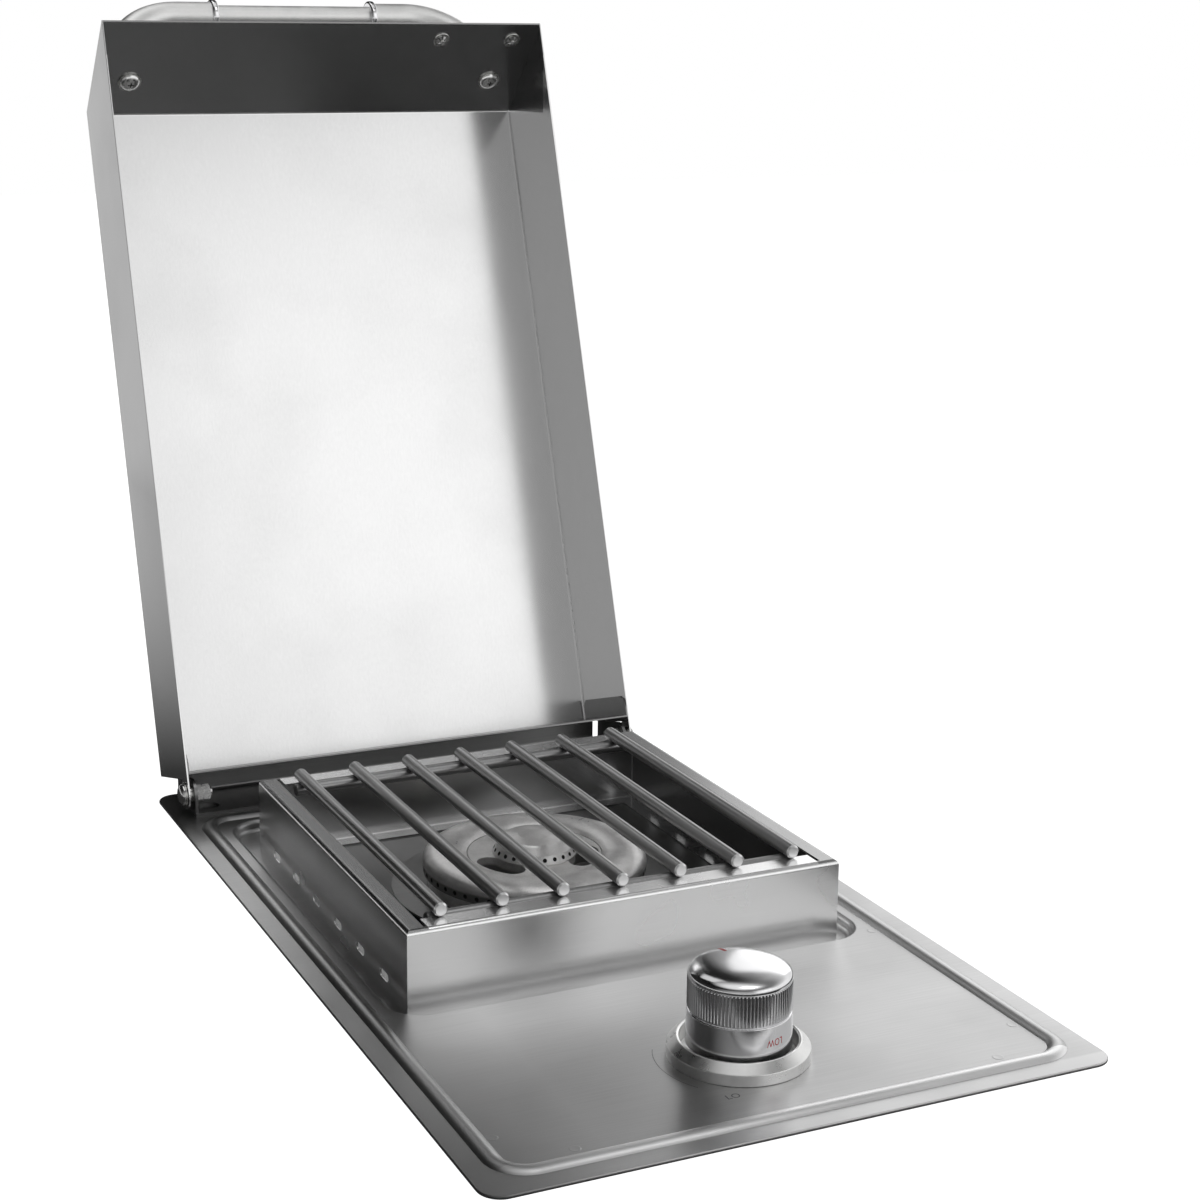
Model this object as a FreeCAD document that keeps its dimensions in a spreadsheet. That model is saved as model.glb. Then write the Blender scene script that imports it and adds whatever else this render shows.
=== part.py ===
import FreeCAD, Part
import Sketcher
import math
import os
from types import SimpleNamespace

# Built in side burner, millimetres. +X right, +Y to the back, +Z up.
# The origin is the middle of the deck, on the level of its top face.

Vector = FreeCAD.Vector
Rotation = FreeCAD.Rotation
Placement = FreeCAD.Placement

doc = FreeCAD.newDocument("SideBurner")

# ---------------------------------------------------------------- driving dimensions

DIMENSIONS = [
    # deck
    ("flange_width", 343.0),
    ("flange_depth", 571.5),
    ("flange_corner", 12.0),
    ("sheet", 1.0),
    ("hem_width", 8.0),
    ("bead_width", 10.1),
    ("bead_height", 2.1),
    ("bead_inset", 16.35),
    ("bead_rear_inset", 60.0),
    ("bead_corner", 17.0),
    ("basin_side_inset", 30.0),
    ("basin_front", -99.3),
    ("basin_rear_inset", 71.75),
    ("basin_depth", 7.0),
    ("basin_corner", 20.0),
    ("basin_roll", 3.0),
    ("basin_hole", 30.0),
    # box under the deck
    ("service_side_inset", 21.5),
    ("service_front_inset", 21.75),
    ("service_rear_inset", 44.75),
    ("service_depth", 89.0),
    ("service_corner", 6.0),
    ("service_end_lip", 10.0),
    ("vent_length", 40.0),
    ("vent_width", 6.0),
    ("vent_pitch", 60.0),
    ("hose_hole", 14.0),
    # burner surround
    ("surround_side_gap", 9.8),
    ("surround_front_gap", 14.7),
    ("surround_rear_gap", 36.3),
    ("surround_top", 40.5),
    ("surround_bend", 3.0),
    ("side_flange", 10.7),
    ("end_flange", 14.0),
    ("foot_flange", 12.0),
    ("slit_width", 2.0),
    ("slot_length", 13.0),
    ("slot_width", 5.0),
    ("slot_pitch", 38.2),
    ("slot_level", 2.0),
    # burner
    ("burner_y", 46.6),
    ("base_turn", -5.0),
    ("electrode_reach", 73.0),
    ("electrode_hole", 3.4),
    ("plate_radius", 86.0),
    ("plate_bend", 50.0),
    ("plate_foot", 43.0),
    ("plate_bore", 35.0),
    ("base_radius", 64.0),
    ("base_bore", 60.5),
    ("base_floor", 3.0),
    ("seat_level", 9.0),
    ("web_level", 19.0),
    ("web_radius", 40.4),
    ("neck_radius", 19.5),
    ("neck_bore", 16.0),
    ("neck_bottom", -26.0),
    ("kidney_outer", 38.8),
    ("kidney_inner", 24.6),
    ("kidney_reach", 9.9),
    ("gas_way", 4.5),
    ("boss_pitch", 55.0),
    ("boss_radius", 4.5),
    ("boss_top", 7.5),
    ("ring_inner", 40.7),
    ("ring_outer", 67.6),
    ("ring_bottom_outer", 67.0),
    ("ring_bottom_inner", 62.5),
    ("ring_crest", 22.6),
    ("ring_wall", 3.0),
    ("ring_band", 6.0),
    ("port_radius", 1.1),
    ("port_level", 12.2),
    ("cap_radius", 25.4),
    ("cap_shoulder", 19.3),
    ("cap_port_level", 22.4),
    ("cap_crest", 31.2),
    ("cap_wall", 2.5),
    # mixing tube
    ("tube_radius", 15.75),
    ("tube_wall", 1.2),
    ("tube_top", -12.0),
    ("tube_drop", -28.0),
    ("tube_bend", 22.0),
    ("tube_gap", 18.6),
    ("shutter_radius", 17.0),
    ("shutter_length", 24.0),
    ("shutter_overlap", 11.0),
    ("shutter_screw", 1.6),
    # grate
    ("bar_radius", 4.0),
    ("bar_inset", 11.15),
    ("bar_pitch", 36.0),
    ("bar_chamfer", 1.0),
    ("rod_radius", 3.75),
    ("rod_overhang", 6.0),
    ("rod_inset", 8.0),
    ("rod_sink", 7.2),
    # knob and valve
    ("knob_inset", 81.15),
    ("bezel_radius", 36.6),
    ("bezel_band", 6.0),
    ("bezel_top", 10.2),
    ("bezel_opening", 30.0),
    ("bezel_floor", 1.5),
    ("bezel_bore", 9.0),
    ("bezel_screw_reach", 20.0),
    ("knob_skirt", 27.0),
    ("knob_band", 26.5),
    ("knob_bottom", 7.0),
    ("knob_band_bottom", 25.7),
    ("knob_band_top", 42.8),
    ("knob_top", 50.0),
    ("knob_hollow", 24.0),
    ("knob_hollow_top", 40.0),
    ("hub_radius", 9.0),
    ("hub_bottom", 12.0),
    ("stem_radius", 5.0),
    ("stem_flat", 3.8),
    ("stem_top", 34.0),
    ("collar_radius", 7.5),
    ("collar_bottom", -18.3),
    ("collar_top", -16.3),
    ("tang_thickness", 3.0),
    ("tang_width", 9.0),
    ("tang_bottom", -38.0),
    ("bracket_length", 64.0),
    ("bracket_width", 34.0),
    ("bracket_sheet", 2.0),
    ("bonnet_plate", 3.0),
    ("bonnet_neck", 8.0),
    ("bonnet_reach", 10.5),
    ("valve_side", 28.0),
    ("valve_top", -16.0),
    ("valve_bottom", -66.0),
    ("plug_radius", 8.95),
    ("plug_top", -32.0),
    ("plug_bottom", -58.0),
    ("gas_level", -50.0),
    ("outlet_reach", 26.0),
    ("spring_radius", 6.3),
    ("spring_wire", 0.6),
    ("inlet_thread", 7.94),
    ("inlet_hex", 11.0),
    ("inlet_shoulder", -74.0),
    ("inlet_end", -96.0),
    # lid, measured from its hinge axis with the lid shut
    ("hinge_inset", 38.45),
    ("hinge_z", 12.17),
    ("lid_tilt", 18.49),
    ("lid_side_inset", 10.6),
    ("lid_back", -13.03),
    ("lid_front", -518.85),
    ("lid_rim", -9.81),
    ("lid_panel", 64.51),
    ("lid_slant_top", -476.1),
    ("lid_bend", 2.5),
    ("lug_radius", 9.81),
    ("end_tab", 15.0),
    ("tab_corner", 8.0),
    # hinge
    ("bracket_depth", 45.0),
    ("upstand_inset", 4.75),
    ("upstand_top", 14.3),
    ("upstand_step", 6.9),
    ("ear_inset", 4.0),
    ("ear_sheet", 2.0),
    ("ear_radius", 10.0),
    ("notch_step", 11.9),
    ("notch_y_step", 1.7),
    ("notch_length", 14.0),
    ("notch_width", 12.0),
    ("bolt_radius", 3.0),
    ("bolt_head", 7.2),
    ("bolt_reach", 13.9),
    ("washer_radius", 8.0),
    ("spacer_radius", 6.0),
    ("nut_radius", 5.77),
    ("nut_height", 5.0),
    # handle
    ("post_inset", 26.2),
    ("post_reach", 54.0),
    ("handle_standoff", 66.0),
    ("elbow_radius", 10.5),
    ("elbow_bend", 48.0),
    ("grip_inset", 76.7),
    ("ferrule_width", 4.5),
    ("ferrule_radius", 12.2),
    ("grip_radius", 8.2),
    ("stud_inset", 18.9),
    ("stud_pitch", 55.0),
    ("stud_reach", 14.7),
    ("push_nut_radius", 6.0),
    ("handle_screw", 2.5),
    ("handle_screw_length", 12.0),
    ("handle_screw_head", 7.0),
    ("handle_washer", 8.0),
    ("stud", 1.5),
    # fits
    ("running_gap", 0.06),
    ("loose_gap", 0.3),
    ("screw_radius", 2.0),
    ("screw_gap", 0.15),
]


class Dim:
    """A length together with the spreadsheet expression it comes from."""

    def __init__(self, value, text):
        self.value = value
        self.text = text

    def __add__(self, other):
        return combine(self, other, "+", self.value + as_dim(other).value)

    def __radd__(self, other):
        return as_dim(other) + self

    def __sub__(self, other):
        return combine(self, other, "-", self.value - as_dim(other).value)

    def __rsub__(self, other):
        return as_dim(other) - self

    def __mul__(self, other):
        return combine(self, other, "*", self.value * as_dim(other).value)

    def __rmul__(self, other):
        return as_dim(other) * self

    def __truediv__(self, other):
        return combine(self, other, "/", self.value / as_dim(other).value)

    def __neg__(self):
        return Dim(-self.value, f"(0 - {self.text})")


def as_dim(value):
    if isinstance(value, Dim):
        return value
    return Dim(float(value), f"({float(value)!r})")


def combine(left, right, sign, value):
    return Dim(value, f"({as_dim(left).text} {sign} {as_dim(right).text})")


sheet = doc.addObject("Spreadsheet::Sheet", "dims")
names = {}
for row, (alias, value) in enumerate(DIMENSIONS, start=1):
    sheet.set(f"A{row}", alias)
    sheet.set(f"B{row}", str(value))
    sheet.setAlias(f"B{row}", alias)
    names[alias] = Dim(value, f"dims.{alias}")
doc.recompute()
d = SimpleNamespace(**names)

# Levels and places that follow from the sizes above.
d.half_width = d.flange_width / 2
d.half_depth = d.flange_depth / 2
d.bead_side = d.half_width - d.bead_inset
d.bead_front = d.bead_inset - d.half_depth
d.bead_rear = d.half_depth - d.bead_rear_inset
d.basin_rear = d.half_depth - d.basin_rear_inset
d.basin_side = d.half_width - d.basin_side_inset
d.basin_floor = -d.basin_depth
d.service_side = d.half_width - d.service_side_inset
d.service_front = d.service_front_inset - d.half_depth
d.service_rear = d.half_depth - d.service_rear_inset
d.service_bottom = -d.sheet - d.service_depth
d.service_lip = d.service_side - d.basin_side - d.basin_roll - d.loose_gap
d.surround_side = d.basin_side - d.surround_side_gap
d.surround_front = d.basin_front + d.surround_front_gap
d.surround_rear = d.basin_rear - d.surround_rear_gap
d.bar_length = d.surround_rear - d.surround_front - d.bar_inset * 2
d.rod_length = d.bar_pitch * 6 + d.rod_overhang * 2
d.rod_spread = d.bar_length - d.rod_inset * 2
d.knob_y = d.knob_inset - d.half_depth
d.stem_flat_bottom = d.hub_bottom - d.loose_gap
d.tube_end = d.knob_y + d.outlet_reach + d.tube_gap
d.shutter_back = d.tube_end + d.shutter_overlap
d.shutter_front = d.shutter_back - d.shutter_length
d.hinge_y = d.half_depth - d.hinge_inset
d.lid_side = d.half_width - d.lid_side_inset
d.upstand_back = d.half_depth - d.upstand_inset
d.upstand_front = d.upstand_back - d.ear_sheet
d.bracket_front = d.upstand_back - d.bracket_depth
d.ear_outer = d.lid_side - d.ear_inset
d.upstand_side = d.ear_outer - d.upstand_step
d.notch_x = d.ear_outer - d.notch_step
d.notch_y = d.hinge_y + d.notch_y_step
d.bolt_end = d.ear_outer - d.bolt_reach
d.post_x = d.lid_side - d.post_inset
d.ferrule_inner = d.post_x - d.grip_inset
d.stud_outer_x = d.lid_side - d.stud_inset
d.stud_inner_x = d.stud_outer_x - d.stud_pitch

parts = []


def keep(obj, label):
    """Names a finished sub-part and keeps it for the STEP files."""
    obj.Label = label
    parts.append((label, obj))
    return obj


def bind(obj, path, dim):
    obj.setExpression(path, as_dim(dim).text)


# ---------------------------------------------------------------- sketch and feature helpers


def new_body(label):
    body = doc.addObject("PartDesign::Body", "body_" + label)
    return keep(body, label)


def origin_item(body, role):
    return next(item for item in body.Origin.OriginFeatures if item.Role == role)


def new_sketch(body, plane="XY_Plane", offset=0.0):
    """A sketch on one of the body's own planes; offset runs along the plane's normal."""
    sketch = body.newObject("Sketcher::SketchObject", "sketch")
    sketch.AttachmentSupport = [(origin_item(body, plane), "")]
    sketch.MapMode = "FlatFace"
    bind(sketch, "AttachmentOffset.Base.z", offset)
    return sketch


def fix(sketch, kind, *where, value):
    """A driven dimension in a sketch."""
    index = sketch.addConstraint(Sketcher.Constraint(kind, *where, as_dim(value).value))
    sketch.setExpression(f"Constraints[{index}]", as_dim(value).text)


def fix_point(sketch, geometry, end, x, y):
    fix(sketch, "DistanceX", -1, 1, geometry, end, value=x)
    fix(sketch, "DistanceY", -1, 1, geometry, end, value=y)


def segment(sketch, start, end):
    first = Vector(as_dim(start[0]).value, as_dim(start[1]).value, 0)
    last = Vector(as_dim(end[0]).value, as_dim(end[1]).value, 0)
    return sketch.addGeometry(Part.LineSegment(first, last), False)


def polygon(sketch, points):
    lines = []
    for index, point in enumerate(points):
        lines.append(segment(sketch, point, points[(index + 1) % len(points)]))
    for index, line in enumerate(lines):
        following = lines[(index + 1) % len(lines)]
        sketch.addConstraint(Sketcher.Constraint("Coincident", line, 2, following, 1))
    for line, point in zip(lines, points):
        fix_point(sketch, line, 1, *point)


def rectangle(sketch, x0, x1, y0, y1):
    polygon(sketch, [(x0, y0), (x1, y0), (x1, y1), (x0, y1)])


def circle(sketch, x, y, radius):
    centre = Vector(as_dim(x).value, as_dim(y).value, 0)
    ring = sketch.addGeometry(Part.Circle(centre, Vector(0, 0, 1), as_dim(radius).value), False)
    fix_point(sketch, ring, 3, x, y)
    fix(sketch, "Radius", ring, value=radius)


def arc(sketch, x, y, radius, start, end):
    """An arc by its centre, radius and two angles in degrees."""
    centre = Vector(as_dim(x).value, as_dim(y).value, 0)
    whole = Part.Circle(centre, Vector(0, 0, 1), as_dim(radius).value)
    piece = Part.ArcOfCircle(whole, math.radians(start), math.radians(end))
    return sketch.addGeometry(piece, False)


def rounded_rectangle(sketch, x0, x1, y0, y1, radius):
    left, right, low, high = x0 + radius, x1 - radius, y0 + radius, y1 - radius
    corners = [(right, low, 270, 360), (right, high, 0, 90), (left, high, 90, 180), (left, low, 180, 270)]
    sides = [
        ((left, y0), (right, y0)),
        ((x1, low), (x1, high)),
        ((right, y1), (left, y1)),
        ((x0, high), (x0, low)),
    ]
    lines = []
    arcs = []
    for (start, end), (x, y, first, last) in zip(sides, corners):
        lines.append(segment(sketch, start, end))
        arcs.append(arc(sketch, x, y, radius, first, last))
    for index, bend in enumerate(arcs):
        sketch.addConstraint(Sketcher.Constraint("Tangent", lines[index], 2, bend, 1))
        sketch.addConstraint(Sketcher.Constraint("Tangent", bend, 2, lines[(index + 1) % 4], 1))
    for bend, (x, y, _, _) in zip(arcs, corners):
        fix_point(sketch, bend, 3, x, y)
        fix(sketch, "Radius", bend, value=radius)


def obround(sketch, x, y, length, width):
    """A slot with round ends, long along the sketch's X."""
    radius = width / 2
    half = (length - width) / 2
    left, right = x - half, x + half
    start = arc(sketch, left, y, radius, 90, 270)
    low = segment(sketch, (left, y - radius), (right, y - radius))
    end = arc(sketch, right, y, radius, -90, 90)
    high = segment(sketch, (right, y + radius), (left, y + radius))
    loop = [start, low, end, high]
    for index, piece in enumerate(loop):
        sketch.addConstraint(Sketcher.Constraint("Tangent", piece, 2, loop[(index + 1) % 4], 1))
    fix_point(sketch, start, 3, left, y)
    fix_point(sketch, end, 3, right, y)
    fix(sketch, "Radius", start, value=radius)
    sketch.addConstraint(Sketcher.Constraint("Equal", start, end))


def pad(body, sketch, length, symmetric=False, reverse=False):
    feature = body.newObject("PartDesign::Pad", "pad")
    feature.Profile = sketch
    if symmetric:
        feature.SideType = "Symmetric"
    feature.Reversed = reverse
    bind(feature, "Length", length)
    sketch.Visibility = False
    return feature


def pocket(body, sketch, length, symmetric=False, reverse=False):
    feature = body.newObject("PartDesign::Pocket", "pocket")
    feature.Profile = sketch
    if symmetric:
        feature.SideType = "Symmetric"
    feature.Reversed = reverse
    bind(feature, "Length", length)
    sketch.Visibility = False
    return feature


def revolve(body, sketch):
    feature = body.newObject("PartDesign::Revolution", "revolution")
    feature.Profile = sketch
    feature.ReferenceAxis = (origin_item(body, "Z_Axis"), [""])
    feature.Angle = 360.0
    return feature


def sweep(body, kind, profile, path):
    feature = body.newObject(kind, "pipe")
    feature.Profile = profile
    feature.Spine = (path, [])
    return feature


def polar(body, feature, count):
    pattern = body.newObject("PartDesign::PolarPattern", "polar")
    pattern.Originals = [feature]
    pattern.Axis = (origin_item(body, "Z_Axis"), [""])
    pattern.Angle = 360.0
    pattern.Occurrences = count
    body.Tip = pattern
    return pattern


def linear(body, feature, axis, pitch, count):
    pattern = body.newObject("PartDesign::LinearPattern", "linear")
    pattern.Originals = [feature]
    pattern.Direction = (origin_item(body, axis), [""])
    pattern.Occurrences = count
    bind(pattern, "Length", pitch * (count - 1))
    body.Tip = pattern
    return pattern


def edges_where(feature, test):
    doc.recompute()
    found = []
    for index, edge in enumerate(feature.Shape.Edges, start=1):
        if test(edge.BoundBox):
            found.append(f"Edge{index}")
    return found


def level_edges(feature, level, reach_x, reach_y):
    """Level edges at one height that stay inside a box about the origin."""
    height = as_dim(level).value
    limit_x = as_dim(reach_x).value
    limit_y = as_dim(reach_y).value

    def is_level(box):
        flat = abs(box.ZMin - height) < 0.01 and abs(box.ZMax - height) < 0.01
        inside = max(abs(box.XMin), abs(box.XMax)) < limit_x and max(abs(box.YMin), abs(box.YMax)) < limit_y
        return flat and inside

    return edges_where(feature, is_level)


def fillet(body, feature, edges, radius):
    rounding = body.newObject("PartDesign::Fillet", "fillet")
    rounding.Base = (feature, edges)
    bind(rounding, "Radius", radius)
    doc.recompute()
    return rounding


def place(obj, x=0.0, y=0.0, z=0.0):
    bind(obj, "Placement.Base.x", x)
    bind(obj, "Placement.Base.y", y)
    bind(obj, "Placement.Base.z", z)


# ---------------------------------------------------------------- turned hardware

ALONG_X = Rotation(Vector(0, 1, 0), 90)
ALONG_MINUS_X = Rotation(Vector(0, 1, 0), -90)
ALONG_Y = Rotation(Vector(1, 0, 0), -90)
ALONG_MINUS_Y = Rotation(Vector(1, 0, 0), 90)
UPRIGHT = Rotation()


def stage(radius, start, end, sides=0):
    """One coaxial stage: a cylinder, or a prism when it has sides."""
    if sides:
        solid = doc.addObject("Part::Prism", "prism")
        solid.Polygon = sides
        bind(solid, "Circumradius", radius)
    else:
        solid = doc.addObject("Part::Cylinder", "cylinder")
        bind(solid, "Radius", radius)
    bind(solid, "Height", as_dim(end) - start)
    bind(solid, "Placement.Base.z", start)
    return solid


def cone(radius, top_radius, start, end):
    solid = doc.addObject("Part::Cone", "cone")
    bind(solid, "Radius1", radius)
    bind(solid, "Radius2", top_radius)
    bind(solid, "Height", as_dim(end) - start)
    bind(solid, "Placement.Base.z", start)
    return solid


def block(x0, x1, y0, y1, z0, z1):
    solid = doc.addObject("Part::Box", "block")
    bind(solid, "Length", as_dim(x1) - x0)
    bind(solid, "Width", as_dim(y1) - y0)
    bind(solid, "Height", as_dim(z1) - z0)
    place(solid, x0, y0, z0)
    return solid


def fuse(solids):
    if len(solids) == 1:
        return solids[0]
    union = doc.addObject("Part::MultiFuse", "union")
    union.Shapes = solids
    return union


def cut(base, tool):
    difference = doc.addObject("Part::Cut", "cut")
    difference.Base = base
    difference.Tool = tool
    return difference


def turned(stages, bore=None):
    solid = fuse(stages)
    if bore is not None:
        solid = cut(solid, bore)
    return solid


def group(label, solids):
    """Identical fasteners kept as separate solids in one node."""
    holder = doc.addObject("Part::Compound", "group_" + label)
    holder.Links = solids
    return keep(holder, label)


def at(obj, x, y, z, rotation=UPRIGHT):
    """Sets a solid down; one that already has a driven start is held in a compound first."""
    if obj.ExpressionEngine:
        holder = doc.addObject("Part::Compound", "holder")
        holder.Links = [obj]
        obj = holder
    obj.Placement = Placement(Vector(0, 0, 0), rotation)
    place(obj, x, y, z)
    return obj


# ---------------------------------------------------------------- deck


def burner_screw_places():
    """The three screws under the burner, turned round with its base."""
    places = []
    for boss in range(3):
        angle = math.radians(90 + 120 * boss + d.base_turn.value)
        places.append((d.boss_pitch * math.cos(angle), d.boss_pitch * math.sin(angle)))
    return places


def basin_outline(sketch, extra):
    rounded_rectangle(
        sketch,
        -d.basin_side - extra,
        d.basin_side + extra,
        d.basin_front - extra,
        d.basin_rear + extra,
        d.basin_corner + extra,
    )


def bead_path(body):
    path = new_sketch(body)
    rounded_rectangle(path, -d.bead_side, d.bead_side, d.bead_front, d.bead_rear, d.bead_corner)
    return path


def bead_section(body, thickness, floor_level):
    """The bead's arched section, on the plane where its path starts."""
    chord = d.bead_width / 2
    radius_value = (chord.value**2 + d.bead_height.value**2) / (2 * d.bead_height.value)
    radius = Dim(
        radius_value,
        "((dims.bead_width / 2) ^ 2 + dims.bead_height ^ 2) / (2 * dims.bead_height)",
    )
    centre_z = d.bead_height - radius
    arch = radius - thickness
    level = -as_dim(thickness)
    reach_value = math.sqrt(arch.value**2 - (level - centre_z).value ** 2)
    reach = Dim(reach_value, f"sqrt({arch.text} ^ 2 - {(level - centre_z).text} ^ 2)")
    section = new_sketch(body, "YZ_Plane", -d.bead_side + d.bead_corner)
    spread = math.degrees(math.asin(reach.value / arch.value))
    bow = arc(section, d.bead_front, centre_z, arch, 90 - spread, 90 + spread)
    left = segment(section, (d.bead_front - reach, level), (d.bead_front - reach, floor_level))
    low = segment(section, (d.bead_front - reach, floor_level), (d.bead_front + reach, floor_level))
    right = segment(section, (d.bead_front + reach, floor_level), (d.bead_front + reach, level))
    for first, second in ((bow, left), (left, low), (low, right), (right, bow)):
        section.addConstraint(Sketcher.Constraint("Coincident", first, 2, second, 1))
    fix_point(section, left, 1, d.bead_front - reach, level)
    fix_point(section, low, 1, d.bead_front - reach, floor_level)
    fix_point(section, right, 1, d.bead_front + reach, floor_level)
    fix_point(section, right, 2, d.bead_front + reach, level)
    fix(section, "Radius", bow, value=arch)
    return section


def make_deck():
    body = new_body("deck_pan")
    outline = new_sketch(body, "XY_Plane", -d.sheet)
    rounded_rectangle(outline, -d.half_width, d.half_width, -d.half_depth, d.half_depth, d.flange_corner)
    pad(body, outline, d.sheet)

    hem = new_sketch(body, "XY_Plane", -2 * d.sheet)
    rounded_rectangle(hem, -d.half_width, d.half_width, -d.half_depth, d.half_depth, d.flange_corner)
    rounded_rectangle(
        hem,
        -d.half_width + d.hem_width,
        d.half_width - d.hem_width,
        -d.half_depth + d.hem_width,
        d.half_depth - d.hem_width,
        d.flange_corner - d.hem_width,
    )
    pad(body, hem, d.sheet)

    well = new_sketch(body, "XY_Plane", d.basin_floor - d.sheet)
    basin_outline(well, d.sheet)
    feature = pad(body, well, d.basin_depth)

    inside = new_sketch(body)
    basin_outline(inside, as_dim(0))
    feature = pocket(body, inside, d.basin_depth)

    reach_x = d.basin_side + 3 * d.sheet
    reach_y = d.basin_rear + 3 * d.sheet
    roundings = [
        (d.basin_floor - d.sheet, d.basin_roll + d.sheet),
        (d.basin_floor, d.basin_roll),
        (as_dim(0), d.basin_roll),
        (-d.sheet, d.basin_roll - d.sheet),
    ]
    for level, radius in roundings:
        edges = level_edges(feature, level, reach_x, reach_y)
        feature = fillet(body, feature, edges, radius)

    section = bead_section(body, as_dim(0), -d.sheet / 2)
    sweep(body, "PartDesign::AdditivePipe", section, bead_path(body))
    hollow = bead_section(body, d.sheet, -1.4 * d.sheet)
    sweep(body, "PartDesign::SubtractivePipe", hollow, bead_path(body))

    holes = new_sketch(body)
    circle(holes, 0, d.knob_y, d.bezel_bore - 1)
    for side in (-1, 1):
        circle(holes, side * d.bezel_screw_reach, d.knob_y, d.screw_radius + d.screw_gap)
    circle(holes, 0, d.burner_y, d.basin_hole)
    circle(holes, 0, d.burner_y + d.electrode_reach, d.electrode_hole)
    for x, y in burner_screw_places():
        circle(holes, x, d.burner_y + y, d.screw_radius + d.screw_gap)
    pocket(body, holes, 2 * d.basin_depth)


def make_service_box():
    body = new_body("service_box")
    side, front, rear = d.service_side, d.service_front, d.service_rear
    top = -d.sheet
    shell = new_sketch(body, "XY_Plane", d.service_bottom)
    rounded_rectangle(shell, -side, side, front, rear, d.service_corner)
    pad(body, shell, top - d.service_bottom)

    inside = new_sketch(body, "XY_Plane", top - d.sheet)
    t = d.sheet
    rounded_rectangle(inside, -side + t, side - t, front + t, rear - t, d.service_corner - t)
    pocket(body, inside, top - d.service_bottom - 2 * t)

    opening = new_sketch(body, "XY_Plane", top)
    lip, end_lip = d.service_lip, d.service_end_lip
    rectangle(opening, -side + lip, side - lip, front + end_lip, rear - end_lip)
    pocket(body, opening, t)

    hose = new_sketch(body, "XY_Plane", d.service_bottom + t)
    circle(hose, 0, d.knob_y, d.hose_hole)
    pocket(body, hose, 2 * t)

    vents = new_sketch(body, "YZ_Plane", 0)
    obround(vents, front + 2 * d.vent_length, d.service_bottom / 2, d.vent_length, d.vent_width)
    slots = pocket(body, vents, 2 * side + 2, symmetric=True)
    linear(body, slots, "Y_Axis", d.vent_pitch, 6)


def make_surround():
    body = new_body("burner_surround")
    side, front, rear, top = d.surround_side, d.surround_front, d.surround_rear, d.surround_top
    t = d.sheet
    outer = new_sketch(body, "XY_Plane", d.basin_floor)
    rectangle(outer, -side, side, front, rear)
    feature = pad(body, outer, top - d.basin_floor)
    edges = level_edges(feature, top, side + 1, rear + 1)
    fillet(body, feature, edges, d.surround_bend)

    inside = new_sketch(body, "XY_Plane", top - t)
    rectangle(inside, -side + t, side - t, front + t, rear - t)
    feature = pocket(body, inside, top - d.basin_floor - 2 * t)
    edges = level_edges(feature, top - t, side, rear)
    fillet(body, feature, edges, d.surround_bend - t)

    mouth = new_sketch(body, "XY_Plane", top)
    rectangle(
        mouth,
        -side + d.side_flange,
        side - d.side_flange,
        front + d.end_flange,
        rear - d.end_flange,
    )
    pocket(body, mouth, 2 * t)

    foot = new_sketch(body, "XY_Plane", d.basin_floor + 2 * t)
    rectangle(
        foot,
        -side + d.foot_flange,
        side - d.foot_flange,
        front + d.foot_flange,
        rear - d.foot_flange,
    )
    pocket(body, foot, 2 * t)

    slits = new_sketch(body, "XY_Plane", top)
    for sign in (-1, 1):
        edge = sign * (side - d.side_flange)
        near = edge - sign * d.slit_width
        rectangle(slits, near, edge, front + d.surround_bend + 0.5, front + d.end_flange + 0.5)
        rectangle(slits, near, edge, rear - d.end_flange - 0.5, rear - d.surround_bend - 0.5)
    pocket(body, slits, 2 * t)

    vents = new_sketch(body, "YZ_Plane", 0)
    first = (front + rear) / 2 - 2.5 * d.slot_pitch
    obround(vents, first, d.slot_level, d.slot_length, d.slot_width)
    slots = pocket(body, vents, 2 * side + 2, symmetric=True)
    linear(body, slots, "Y_Axis", d.slot_pitch, 6)


# ---------------------------------------------------------------- burner


def make_plate():
    body = new_body("burner_plate")
    t = d.sheet
    section = new_sketch(body, "XZ_Plane")
    polygon(
        section,
        [
            (d.plate_bore, d.basin_floor),
            (d.plate_foot + 0.4, d.basin_floor),
            (d.plate_bend + 0.4, -t),
            (d.plate_radius, -t),
            (d.plate_radius, 0),
            (d.plate_bend, 0),
            (d.plate_foot, d.basin_floor + t),
            (d.plate_bore, d.basin_floor + t),
        ],
    )
    revolve(body, section)
    holes = new_sketch(body)
    circle(holes, 0, d.electrode_reach, d.electrode_hole)
    for x, y in burner_screw_places():
        circle(holes, x, y, d.screw_radius + d.screw_gap)
    pocket(body, holes, 2 * t)
    place(body, 0, d.burner_y, 0)


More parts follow.
